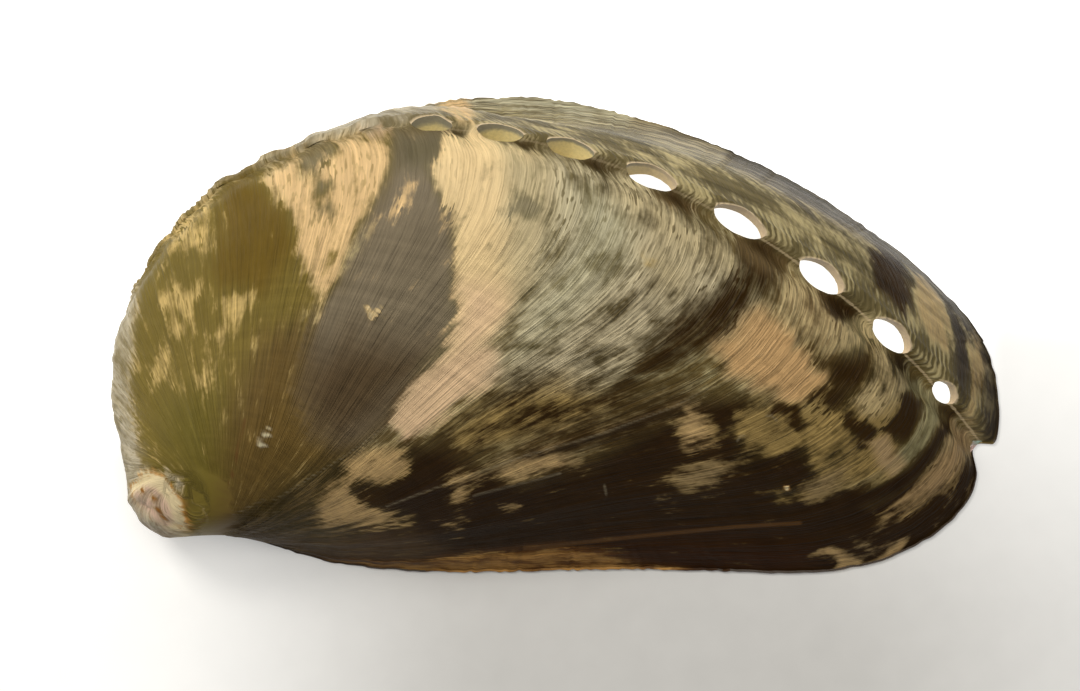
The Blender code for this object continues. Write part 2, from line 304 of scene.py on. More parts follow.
class Bench:
    """A material's node tree, and the few ways that this file adds to it."""

    def __init__(self, name: str) -> None:
        """Start a material with its shader and nothing else.

        Args:
            name: The material's name.
        """
        self.material = bpy.data.materials.new(name)
        self.material.use_nodes = True
        self.tree = self.material.node_tree
        self.shader = self.tree.nodes["Principled BSDF"]

    def node(self, kind: str, settings: dict | None = None, inputs: dict | None = None,
             output: int | str = 0) -> Signal:
        """Add one node.

        Args:
            kind: The node's type.
            settings: Its own properties, which are set first.
            inputs: Values or signals for its sockets, by place or name.
            output: The socket that the result is taken from.

        Returns:
            The node's output.
        """
        node = self.tree.nodes.new(kind)
        for key, value in (settings or {}).items():
            setattr(node, key, value)
        for key, value in (inputs or {}).items():
            self.feed(node.inputs[key], value)
        return Signal(self, node.outputs[output])

    def feed(self, socket: bpy.types.NodeSocket, value: "Signal | float | tuple") -> None:
        """Link a signal to a socket, or set the socket to a value.

        Args:
            socket: The socket to fill.
            value: What goes into it.
        """
        if isinstance(value, Signal):
            self.tree.links.new(value.socket, socket)
        elif isinstance(value, tuple) and socket.type == "RGBA":
            socket.default_value = (*value, 1.0)
        else:
            socket.default_value = value

    def attribute(self, name: str, output: str = "Fac") -> Signal:
        """A value that the mesh carries, by its name."""
        return self.node("ShaderNodeAttribute", {"attribute_name": name}, output=output)

    def vector(self, x: Signal | float, y: Signal | float, z: Signal | float = 0.0) -> Signal:
        """One vector out of three values."""
        return self.node("ShaderNodeCombineXYZ", None, {0: x, 1: y, 2: z})

    def noise(self, place: Signal, detail: float = 2.0, roughness: float = 0.5) -> Signal:
        """Smooth noise, spread so that its values fill the range from 0 to 1.

        Args:
            place: Where it is read, one bump to each unit.
            detail: How many finer layers it has.
            roughness: How strong they are.

        Returns:
            The noise.
        """
        raw = self.node("ShaderNodeTexNoise", {"noise_dimensions": "3D"},
                        {"Vector": place, "Scale": 1.0, "Detail": detail,
                         "Roughness": roughness})
        return (raw - 0.5) * NOISE_SPREAD + 0.5

    def mix(self, factor: Signal | float, first: Signal | tuple, second: Signal | tuple) -> Signal:
        """Blend two colours.

        Args:
            factor: 0 for the first colour and 1 for the second.
            first: A colour.
            second: A colour.

        Returns:
            The blended colour.
        """
        settings = {"data_type": "RGBA", "clamp_factor": True}
        return self.node("ShaderNodeMix", settings, {0: factor, 6: first, 7: second}, 2)

    def shade(self, colour: Signal, amount: Signal | float) -> Signal:
        """Make a colour lighter or darker by a factor."""
        return self.node("ShaderNodeVectorMath", {"operation": "SCALE"}, {0: colour, 3: amount})

    def bump(self, height: Signal, reach: float, strength: float) -> Signal:
        """A normal tilted by a height that runs over the surface.

        Args:
            height: The height, from 0 to 1.
            reach: What a height of 1 stands for, in millimetres.
            strength: How much of it is used.

        Returns:
            The normal.
        """
        return self.node("ShaderNodeBump", None,
                         {"Strength": strength, "Distance": reach * MM, "Height": height})

    def finish(self, **sockets: "Signal | float | tuple") -> bpy.types.Material:
        """Fill the shader's sockets, whose names are given with _ for each space.

        Args:
            sockets: Signals or values by socket name.

        Returns:
            The finished material.
        """
        for name, value in sockets.items():
            self.feed(self.shader.inputs[name.replace("_", " ")], value)
        return self.material


@dataclass(frozen=True)
class Grain:
    """A noise over two coordinates: its bumps for each unit of both, and its finer layers."""

    first: float
    second: float
    layer: float = 0.0
    detail: float = 2.0
    roughness: float = 0.5

    def read(self, bench: Bench, first: Signal, second: Signal) -> Signal:
        """Read the noise at a pair of coordinates."""
        place = bench.vector(first * self.first, second * self.second, self.layer)
        return bench.noise(place, self.detail, self.roughness)


@dataclass(frozen=True)
class Growth:
    """The signals that the outside's colours and heights are worked out from."""

    cover: Signal
    across: Signal
    raw: Signal
    band: Signal
    back: Signal
    far: Signal
    calm: Signal
    inner_half: Signal
    cloud: Signal
    streak: Signal
    tick: Signal
    hair: Signal
    line: Signal
    cord: Signal
    rib: Signal


@dataclass(frozen=True)
class OutsideFinish:
    """The shell's outside: two colours at each place, clouded, then combed along its growth.

    A grain has bumps for each millimetre of growth along the row of holes and for each
    millimetre along the growing edge. An age is in millimetres of that growth, and the pairs
    are where something eases from nothing to its full share.
    """

    cloud: Grain = Grain(0.42, 0.30, 1.7, 4.0, 0.6)
    streak: Grain = Grain(1.7, 0.20, 0.0, 2.0, 0.55)
    tick: Grain = Grain(2.9, 0.72, 7.3, 1.0)
    hair: Grain = Grain(6.0, 0.05, 3.1, 2.0, 0.6)
    line: Grain = Grain(4.2, 0.11, 9.1, 1.0)
    cord: Grain = Grain(150.0, 0.06, 0.0, 2.0, 0.6)
    drift: Grain = Grain(0.22, 0.28, 5.0, 1.0)
    wander: float = 0.22
    band_range: Pair = (0.3, 1.0)
    far_range: Pair = (7.0, 18.0)
    steep_range: Pair = (3.2, 5.0)
    half_range: Pair = (2.8, 4.6)
    calm_ages: Pair = (78.0, 112.0)
    rib: float = 0.74
    rib_bow: float = 0.07
    rib_middle: float = 2.4
    rib_ages: Pair = (66.0, 84.0)
    blur: float = 0.27
    light_ages: Pair = (70.0, 100.0)
    ridge_range: Pair = (0.052, 0.234)
    rim_range: Pair = (0.05, 0.22)
    scratch_and_glint_range: Pair = (0.03, 0.24)
    brown_range: Pair = (0.08, 0.30)
    relief: float = 0.20
    roughness: float = 0.36

    def read(self, bench: Bench) -> Growth:
        """Read the mesh's values and the noises that follow its growth.

        Args:
            bench: The material's bench.

        Returns:
            The signals.
        """
        across = bench.attribute("across")
        raw = bench.attribute("age")
        band = across.ease(*self.band_range)
        far = abs(across).ease(*self.far_range)
        drift = self.drift.read(bench, raw, across) - 0.5
        age = raw + drift * self.wander * (1.0 - far * 0.6)
        streak = self.streak.read(bench, age, across)
        bow = (across - self.rib_middle) * (across - self.rib_middle) * self.rib_bow
        wave = ((age + bow) * (math.tau / self.rib) + streak * 0.8).wave()
        return Growth(
            cover=bench.attribute("cover"), across=across, raw=raw, band=band, back=1.0 - band,
            far=far,
            calm=1.0 - raw.ease(*self.calm_ages) * 0.6,
            inner_half=1.0 - across.ease(*self.half_range) * 0.8,
            cloud=self.cloud.read(bench, age, across),
            streak=streak,
            tick=self.tick.read(bench, age, across),
            hair=self.hair.read(bench, age, across),
            line=self.line.read(bench, age, across),
            cord=self.cord.read(bench, bench.attribute("part"), raw),
            rib=wave * 0.5 + 0.5,
        )

    def ground(self, bench: Bench, grown: Growth) -> Signal:
        """Mix each place's two colours by the clouds, the band's ribs and the ticks.

        Args:
            bench: The material's bench.
            grown: The signals to work from.

        Returns:
            The colour.
        """
        cloud, streak, cover = grown.cloud, grown.streak, grown.cover
        back_mark = cloud * 0.80 + streak * 0.30 - 0.05
        ribbed = ((1.0 - grown.raw.ease(*self.rib_ages)) * cloud.ease(0.34, 0.60)
                  * grown.inner_half * 0.48)
        band_mark = ((grown.rib - 0.5) * ribbed + cloud * 0.95
                     + streak * 0.16 - 0.055)
        mark = back_mark + (band_mark - back_mark) * grown.band
        edge = 1.0 - cover
        share = mark.ease(edge - self.blur, edge + self.blur)
        mottled = cloud.ease(0.30, 0.75)
        bare = 1.3 - cover
        dark_tick = (grown.tick.ease(0.60, 0.76) * share * grown.back * mottled
                     * bare * bare * (1.6 - grown.far * 0.8))
        light_tick = ((1.0 - grown.tick).ease(0.68, 0.88) * (1.0 - share)
                      * cover.ease(0.15, 0.5)
                      * (1.0 - grown.raw.ease(*self.light_ages)) * 0.3)
        return bench.mix(share - dark_tick + light_tick, bench.attribute("dark", "Color"),
                         bench.attribute("light", "Color"))

    def shading(self, grown: Growth) -> Signal:
        """Work out how the fine lines, hairs and cords lighten or darken each place.

        Args:
            grown: The signals to work from.

        Returns:
            The change, above 0 where it is lighter.
        """
        far, back, calm = grown.far, grown.back, grown.calm
        steep = grown.across.ease(*self.steep_range)
        mixed = (0.5 - abs(grown.cover - 0.5)) * 2.0
        crisp = (grown.line.ease(0.64, 0.74)
                 * (mixed * 0.34 + far * 0.10) * back * calm)
        groove = ((1.0 - grown.line).ease(0.70, 0.80)
                  * (0.12 + far * 0.14) * back * calm)
        return ((grown.hair - 0.5) * (0.16 + far * 0.14) * calm
                + crisp - groove
                + (grown.cord - 0.5) * (far * calm * 0.26 * back
                                        + steep * 1.0)
                + (grown.streak - 0.5) * 0.18
                + (grown.cloud - 0.5) * 0.18)

    def draw(self, bench: Bench, grown: Growth, colour: Signal) -> Signal:
        """Draw the ridge, the holes' rims, the pale scratches and the brown lines; on the scuffs the
        scratches' paling is partly a painted glint.

        Args:
            bench: The material's bench.
            grown: The signals to work from.
            colour: The colour to draw on.

        Returns:
            The colour with the lines.
        """
        from_ridge = abs(grown.across) + (grown.tick - 0.5) * 0.16
        ridge = 1.0 - from_ridge.ease(*self.ridge_range)
        colour = bench.mix(ridge * bench.attribute("ridge") * 0.6, colour,
                           Tint.RIDGE_CREAM.linear)
        rim = 1.0 - bench.attribute("rim").ease(*self.rim_range)
        colour = bench.mix(rim, colour, Tint.HOLE_CREAM.linear)
        # Pale growth lines and scuffs; on the short scuff strokes the paling partly stands for their
        # painted glints.
        pale = 1.0 - bench.attribute("pale").ease(*self.scratch_and_glint_range)
        colour = bench.mix(pale * grown.hair * 0.4, colour,
                           Tint.LINE_PALE.linear)
        brown = 1.0 - bench.attribute("brown").ease(*self.brown_range)
        return bench.mix(brown * 0.6, colour, Tint.LINE_BROWN.linear)

    def make(self) -> bpy.types.Material:
        """Make the material.

        Returns:
            The material.
        """
        bench = Bench("shell_outside")
        grown = self.read(bench)
        colour = bench.shade(self.ground(bench, grown), self.shading(grown) + 1.0)
        colour = self.draw(bench, grown, colour)
        seam = bench.attribute("seam").ease(0.0, 0.5)
        worn = bench.shade(bench.attribute("dark", "Color"), 1.1)
        colour = bench.mix(seam * 0.92, colour, worn)
        height = (grown.streak * 0.22
                  + grown.tick * (0.30 - grown.far * 0.25)
                  + grown.hair * 0.20
                  + grown.line * grown.back * 0.3
                  + grown.rib * grown.band * grown.inner_half * 0.4) * (1.0 - seam)
        return bench.finish(Base_Color=colour,
                            Roughness=self.roughness + grown.hair * 0.12,
                            Normal=bench.bump(height, self.relief, 0.8),
                            IOR=1.28, Specular_IOR_Level=0.25)


@dataclass(frozen=True)
class NacreFinish:
    """The shell's inside: mother-of-pearl, silvery with soft pink and green, tan in the deep."""

    swirl: float = 0.11
    drift: Grain = Grain(0.35, 0.22, 0.0, 3.0, 0.6)
    fine: Grain = Grain(2.6, 0.4, 2.0, 2.0, 0.6)
    green_range: Pair = (0.30, 0.62)
    pink_range: Pair = (0.45, 0.85)
    relief: float = 0.25
    roughness: float = 0.2

    def make(self) -> bpy.types.Material:
        """Make the material.

        Returns:
            The material.
        """
        bench = Bench("shell_nacre")
        age = bench.attribute("age")
        across = bench.attribute("across")
        where = bench.node("ShaderNodeTexCoord", output="Object")
        hue = bench.noise(bench.shade(where, self.swirl / MM), 4.0,
                          0.55)
        drift = self.drift.read(bench, age, across)
        fine = self.fine.read(bench, age, across)
        colour = bench.mix(hue.ease(*self.green_range), Tint.NACRE_GREEN.linear,
                           Tint.NACRE_SILVER.linear)
        colour = bench.mix(drift.ease(*self.pink_range), colour, Tint.NACRE_PINK.linear)
        colour = bench.mix(bench.attribute("depth") * 0.75, colour,
                           Tint.NACRE_TAN.linear)
        colour = bench.shade(colour, fine * 0.14 + 0.92)
        height = drift * 0.7 + fine * 0.3
        return bench.finish(Base_Color=colour, Roughness=self.roughness + hue * 0.08,
                            Metallic=0.25, Coat_Weight=0.5,
                            Coat_Roughness=0.08,
                            Normal=bench.bump(height, self.relief, 0.7))


@dataclass(frozen=True)
class WallFinish:
    """The wall's own thickness, in the holes and round the rim: a thin horny layer on cream."""

    horn: float = 0.42
    old_horn: float = 0.5
    grain: float = 3.2
    high_range: Pair = (0.0, 0.1)
    old_ages: Pair = (43.0, 54.0)
    healed_ages: Pair = (58.0, 70.0)
    horn_edge: Pair = (0.6, 1.5)
    layers: float = 40.0
    relief: float = 0.03
    roughness: float = 0.45

    def make(self) -> bpy.types.Material:
        """Make the material.

        Returns:
            The material.
        """
        bench = Bench("shell_wall")
        where = bench.node("ShaderNodeTexCoord", output="Object")
        grain = bench.noise(bench.shade(where, self.grain / MM), 3.0,
                            0.55)
        below = bench.attribute("below") + (grain - 0.5) * 0.12
        high = bench.attribute("depth").ease(*self.high_range)
        age = bench.attribute("age")
        old = age.ease(*self.old_ages) * high
        skin = age.ease(*self.healed_ages) * high * self.old_horn + self.horn
        horn = 1.0 - below.ease(*(skin * edge for edge in self.horn_edge))
        deep = bench.mix(old, Tint.HOLE_CREAM.linear, Tint.HOLE_TAN.linear)
        outer = bench.mix(old, Tint.HOLE_PINK.linear, Tint.HOLE_GREY.linear)
        outer = bench.mix(high, Tint.BLACK_BROWN.linear, outer)
        colour = bench.shade(bench.mix(horn, deep, outer),
                             grain * 0.2 + 0.9)
        layer = (below * self.layers).wave() * 0.5 + 0.5
        return bench.finish(Base_Color=colour,
                            Roughness=self.roughness + grain * 0.1,
                            Normal=bench.bump(layer, self.relief, 0.6))


@dataclass(frozen=True)
class FloorFinish:
    """White paper whose emission is painted light, as if lit from below, least just in front of the shell.

    The glow paints light behind the shell and under it, so that the holes show white. It is least
    just in front of the shell and lower on the right than on the left, which paints the floor
    greyer there. The ranges are in millimetres, and the glow eases from 0 to its full share along each.
    """

    back_range: Pair = (-2.0, 14.0)
    under_range: Pair = (-14.0, 0.0)
    under_side: Pair = (39.0, 46.0)
    front_range: Pair = (-36.0, 8.0)
    front_side: Pair = (5.0, 38.0)
    front_glow: float = 0.36
    left_range: Pair = (5.0, 50.0)
    left_glow: float = 0.5
    right_range: Pair = (25.0, 60.0)
    right_glow: float = 0.2
    grain: float = 0.3
    roughness: float = 0.9
    dark: Triple = (0.0, 0.0, 0.0)
    white: Triple = (1.0, 1.0, 0.985)

    def make(self) -> bpy.types.Material:
        """Make the material.

        Returns:
            The material.
        """
        bench = Bench("floor_paper")
        where = bench.shade(bench.node("ShaderNodeTexCoord", output="Object"), 1.0 / MM)
        grain = bench.noise(bench.shade(where, self.grain))
        colour = bench.mix(grain, Tint.FLOOR_WHITE.linear, Tint.FLOOR_GREY.linear)
        side = bench.node("ShaderNodeSeparateXYZ", None, {0: where}, 0)
        depth = bench.node("ShaderNodeSeparateXYZ", None, {0: where}, 1)
        under = depth.ease(*self.under_range) * (1.0 - side.ease(*self.under_side))
        # Painted light: full glow behind and under the shell, some in front to the right, more on the left
        # than on the right.
        glow = (depth.ease(*self.back_range) + under
                + depth.ease(*self.front_range) * side.ease(*self.front_side) * self.front_glow
                + (0.0 - side).ease(*self.left_range) * self.left_glow
                + side.ease(*self.right_range) * self.right_glow)
        return bench.finish(Base_Color=colour, Roughness=self.roughness, Emission_Strength=1.0,
                            Emission_Color=bench.mix(glow, self.dark, self.white))


@dataclass
class Grid:
    """Rows of points over a surface, with a search tree that finds places on it."""

    points: Array
    closed: bool = False
    tree: BVHTree = field(init=False)

    def __post_init__(self) -> None:
        """Build the search tree."""
        self.tree = BVHTree.FromPolygons(self.points.reshape(-1, 3).tolist(), self.faces())

    def faces(self) -> Faces:
        """Join the points into quads, row by row.

        Returns:
            The corners of each quad.
        """
        rows, columns = self.points.shape[:2]
        spans = columns if self.closed else columns - 1
        i, j = np.meshgrid(np.arange(rows - 1), np.arange(spans), indexing="ij")
        k = (j + 1) % columns
        quads = np.stack([i * columns + j, i * columns + k, (i + 1) * columns + k,
                          (i + 1) * columns + j], axis=-1)
        return [tuple(quad) for quad in quads.reshape(-1, 4).tolist()]

    def locate(self, places: Array) -> tuple[Array, Array]:
        """Find the nearest place on the grid to each given one.

        Args:
            places: Rows of three coordinates.

        Returns:
            The rows and the columns that they fall on, with fractions.
        """
        found = [self.tree.find_nearest(Vector(place))[::2] for place in places]
        near = np.array([tuple(place) for place, _ in found])
        index = np.array([number for _, number in found])
        columns = self.points.shape[1]
        spans = columns if self.closed else columns - 1
        i, j = index // spans, index % spans
        corner = self.points[i, j]
        down = self.points[i + 1, j] - corner
        over = self.points[i, (j + 1) % columns] - corner
        offset = near - corner
        dd, oo, do = (down * down).sum(1), (over * over).sum(1), (down * over).sum(1)
        d, o = (offset * down).sum(1), (offset * over).sum(1)
        scale = np.maximum(dd * oo - do * do, SMALLEST_AREA)
        return (i + np.clip((d * oo - o * do) / scale, 0.0, 1.0),
                j + np.clip((o * dd - d * do) / scale, 0.0, 1.0))


def read_grid(values: Array, rows: Array, columns: Array) -> Array:
    """Read a grid of values between its points.

    Args:
        values: One value, or one row of values, for each point of the grid.
        rows: Rows with fractions.
        columns: Columns with fractions.

    Returns:
        The values there.
    """
    i = np.clip(np.floor(rows).astype(int), 0, values.shape[0] - 2)
    j = np.clip(np.floor(columns).astype(int), 0, values.shape[1] - 2)
    s, t = rows - i, columns - j
    if values.ndim == 3:
        s, t = s[:, None], t[:, None]
    return (values[i, j] * (1 - s) * (1 - t) + values[i + 1, j] * s * (1 - t)
            + values[i, j + 1] * (1 - s) * t + values[i + 1, j + 1] * s * t)


@dataclass(frozen=True)
class Coil:
    """The spiral that the growing edge swept: each older edge is turned back and smaller."""

    outline: Points = (
        (45.2, -10.0), (46.4, -10.1), (46.9, -8.7), (47.0, -6.1), (46.6, -2.9), (45.5, 0.3),
        (43.6, 3.1), (41.0, 5.8), (37.4, 9.1), (33.8, 11.8), (28.7, 15.2), (23.6, 18.0),
        (16.4, 21.2), (8.2, 23.8), (2.0, 25.1), (-3.1, 25.4), (-9.2, 24.3), (-15.4, 21.8),
        (-21.5, 18.0), (-27.2, 13.0), (-32.0, 7.5), (-35.6, 2.0), (-38.4, -3.0),
        (-39.6, -7.6), (-39.8, -11.7), (-38.1, -16.1), (-35.7, -18.6), (-32.3, -19.3),
        (-28.5, -20.1), (-21.5, -22.2), (-14.3, -23.0), (-7.2, -23.2), (10.2, -22.9),
        (25.6, -23.3), (31.8, -22.8), (36.9, -21.3), (41.0, -18.9), (43.6, -16.3),
        (44.8, -13.4), (44.3, -10.6),
    )
    samples: int = 360
    band_start: Pair = (46.4, -10.1)
    band_end: Pair = (-3.1, 25.4)
    band_pull: Pair = (-2.0, -1.4)
    band_pull_turn: float = 60.0
    band_pull_power: float = 1.4
    apex: Triple = (-38.4, -15.8, 18.4)
    lean: float = 45.0
    heading: float = 221.5
    rate: float = 0.479
    first_turn: float = -9.0
    last_turn: float = 333.0
    turn_step: float = 0.9
    height_factor: float = 0.93
    spire_factor: float = 0.72
    spire_x: float = -42.0
    full_height_x: float = 0.0
    hidden_part: float = 0.45
    row_speed: float = 74.0

    def edges(self, turns: Array) -> Array:
        """The edge as it was at some turns back from the youngest one.

        Args:
            turns: The turns in degrees.

        Returns:
            A row of points for each turn.
        """
        edge = closed_curve(self.outline, self.samples)
        first = int(np.argmin(np.linalg.norm(edge - np.array(self.band_start), axis=1)))
        last = int(np.argmin(np.linalg.norm(edge - np.array(self.band_end), axis=1)))
        part = np.clip((np.arange(len(edge)) - first) / (last - first), 0.0, 1.0)
        weight = np.sin(math.pi * np.sqrt(part)).clip(0.0) ** self.band_pull_power
        pull = weight[:, None] * np.array(self.band_pull)
        lean, heading = math.radians(self.lean), math.radians(self.heading)
        axis = Vector((math.sin(lean) * math.cos(heading), math.sin(lean) * math.sin(heading),
                       math.cos(lean)))
        rows = []
        for turn in turns:
            flat = edge + pull * smooth(turn, 0.0, self.band_pull_turn)
            arms = np.column_stack([flat, np.zeros(len(flat))]) - np.array(self.apex)
            spin = np.array(Matrix.Rotation(math.radians(turn), 3, axis))
            shrink = math.exp(-self.rate * math.radians(turn))
            rows.append(np.array(self.apex) + shrink * arms @ spin.T)
        points = np.array(rows)
        share = smooth(points[..., 0], self.spire_x, self.full_height_x)
        points[..., 2] *= self.height_factor * (self.spire_factor
                                                + (1.0 - self.spire_factor) * share)
        return points

    def age(self, turn: Array) -> Array:
        """How much of the row of holes has grown since a turn, in millimetres."""
        return self.row_speed / self.rate * (1.0 - np.exp(-self.rate * np.radians(turn)))

    def surface(self) -> Grid:
        """All the edges as one grid, a row for each turn."""
        turns = np.arange(self.first_turn, self.last_turn, self.turn_step)
        return Grid(self.edges(turns), closed=True)

    def growth(self, surface: Grid, places: Array) -> tuple[Array, Array, Array]:
        """When and where on the edge the shell at each place was laid down.

        Args:
            surface: The swept surface.
            places: Rows of three coordinates.

        Returns:
            The turn in degrees, the way along the edge from the row of holes in millimetres,
            which is above 0 on the outer band, and the same way as a part of the whole edge.
        """
        rows, columns = surface.locate(places)
        turn = self.first_turn + rows * self.turn_step
        part = columns / self.samples
        part = np.where(part > self.hidden_part, part - 1.0, part)
        edge = surface.points[int(-self.first_turn / self.turn_step)]
        length = np.linalg.norm(np.roll(edge, -1, axis=0) - edge, axis=1).sum()
        return turn, part * length * np.exp(-self.rate * np.radians(turn)), part


@dataclass(frozen=True)
class Stand:
    """A place on the row of holes: its centre, and the ways along, across and out."""

    centre: Array
    along: Array
    across: Array
    out: Array

    @classmethod
    def at(cls, coil: Coil, turn: float) -> "Stand":
        """Find the place on the row at a turn.

        Args:
            coil: The shell's coil.
            turn: The turn in degrees.

        Returns:
            The place.
        """
        older, here, younger = coil.edges(np.array([turn + ROW_STEP, turn, turn - ROW_STEP]))
        along = younger[0] - older[0]
        side = coil.samples // SIDE_SHARE
        out = np.cross(here[side] - here[-side], along)
        along /= np.linalg.norm(along)
        out *= np.sign(out[2]) / np.linalg.norm(out)
        return cls(here[0], along, np.cross(out, along), out)

    def local(self, places: Array) -> Array:
        """Turn places into the stand's own coordinates."""
        return (places - self.centre) @ np.stack([self.along, self.across, self.out], axis=1)

    def world(self, places: Array) -> Array:
        """Turn the stand's own coordinates into places."""
        return self.centre + places @ np.stack([self.along, self.across, self.out])


@dataclass(frozen=True)
class Hole:
    """One open hole: a pointed oval with a low lip, widest on the outer band's side."""

    turn: float
    length: float
    width: float
    band_side: float = 0.54
    back_side: float = 0.46
    power: float = 1.55
    sides: int = 48
    reach: float = 4.5
    flare: float = 0.10

    def half_width(self, side: Array) -> Array:
        """The hole's width from its middle, on the outer band's side where side is above 0."""
        return np.where(side > 0.0, self.band_side, self.back_side) * self.width

    def reading(self, local: Array) -> Array:
        """Tell how far places are out from the hole's middle.

        Args:
            local: Places in the coordinates of the hole's stand.

        Returns:
            The distances as shares of the hole's size, 1 at its edge.
        """
        wide = self.half_width(local[:, 1])
        return ((np.abs(local[:, 0]) / (self.length / 2)) ** self.power
                + (np.abs(local[:, 1]) / wide) ** self.power) ** (1 / self.power)

    def outline(self, scale: float) -> Array:
        """The hole's outline in its own coordinates.

        Args:
            scale: The outline's size against the hole's own.

        Returns:
            One row of two coordinates for each point.
        """
        turns = np.linspace(0.0, math.tau, self.sides, endpoint=False)
        c, s = np.cos(turns), np.sin(turns)
        x = np.sign(c) * np.abs(c) ** (2 / self.power) * self.length / 2
        y = np.sign(s) * np.abs(s) ** (2 / self.power) * self.half_width(s)
        return scale * np.stack([x, y], axis=1)

    def cutter(self, stand: Stand) -> tuple[Array, Faces]:
        """The plug that cuts the hole, a little wider at the outside.

        Args:
            stand: Where the hole is.

        Returns:
            Points and faces.
        """
        rings = []
        for height in (-self.reach, self.reach):
            flat = self.outline(1.0 + self.flare * height / self.reach)
            rings.append(np.column_stack([flat, np.full(len(flat), height)]))
        n = self.sides
        faces = [(k, (k + 1) % n, (k + 1) % n + n, k + n) for k in range(n)]
        faces += [tuple(reversed(range(n))), tuple(range(n, 2 * n))]
        return stand.world(np.vstack(rings)), faces


@dataclass(frozen=True)
class Patch:
    """An area of the outside with its own two colours, drawn as it is seen from above.

    cover is how much of it the light colour takes, and soft is the width of its edge. The outline
    gives x and y of each corner in turn, in tenths of a millimetre.
    """

    name: str
    cover: float
    dark: Tint
    light: Tint
    soft: float
    outline: tuple[int, ...]

    @property
    def corners(self) -> Array:
        """The outline's corners in millimetres, one in each row."""
        return np.array(self.outline).reshape(-1, 2) / TENTHS


@dataclass(frozen=True)
class Stroke:
    """A line on the outside, drawn as it is seen from above, and how high it stands."""

    points: Points
    rise: float = 0.0


@dataclass(frozen=True)
class Nub:
    """A small bump on the outside, drawn as it is seen from above."""

    place: Pair
    radius: float
    rise: float


def stroke_distance(seen: Array, stroke: Stroke) -> Array:
    """How far places are from a line, in millimetres.

    Args:
        seen: Rows of two coordinates.
        stroke: The line.

    Returns:
        One distance for each place.
    """
    best = np.full(len(seen), np.inf)
    knots = np.array(stroke.points, float)
    for a, b in zip(knots[:-1], knots[1:]):
        part = np.clip(((seen - a) @ (b - a)) / ((b - a) @ (b - a)), 0.0, 1.0)
        best = np.minimum(best, np.linalg.norm(seen - a - part[:, None] * (b - a), axis=1))
    return best


def inside_distance(seen: Array, corners: Array) -> Array:
    """How far places are inside an outline, below 0 for the ones outside it.

    Args:
        seen: Rows of two coordinates.
        corners: The corners of the outline, one in each row.

    Returns:
        One distance for each place, in millimetres.
    """
    ends = np.roll(corners, -1, axis=0)
    inside = np.zeros(len(seen), bool)
    for a, b in zip(corners, ends):
        rises = (a[1] > seen[:, 1]) != (b[1] > seen[:, 1])
        height = b[1] - a[1] if b[1] != a[1] else NEAR_ZERO
        inside ^= rises & (seen[:, 0] < (b[0] - a[0]) * (seen[:, 1] - a[1]) / height + a[0])
    away = stroke_distance(seen, Stroke(tuple(map(tuple, np.vstack([corners, corners[:1]])))))
    return np.where(inside, away, -away)


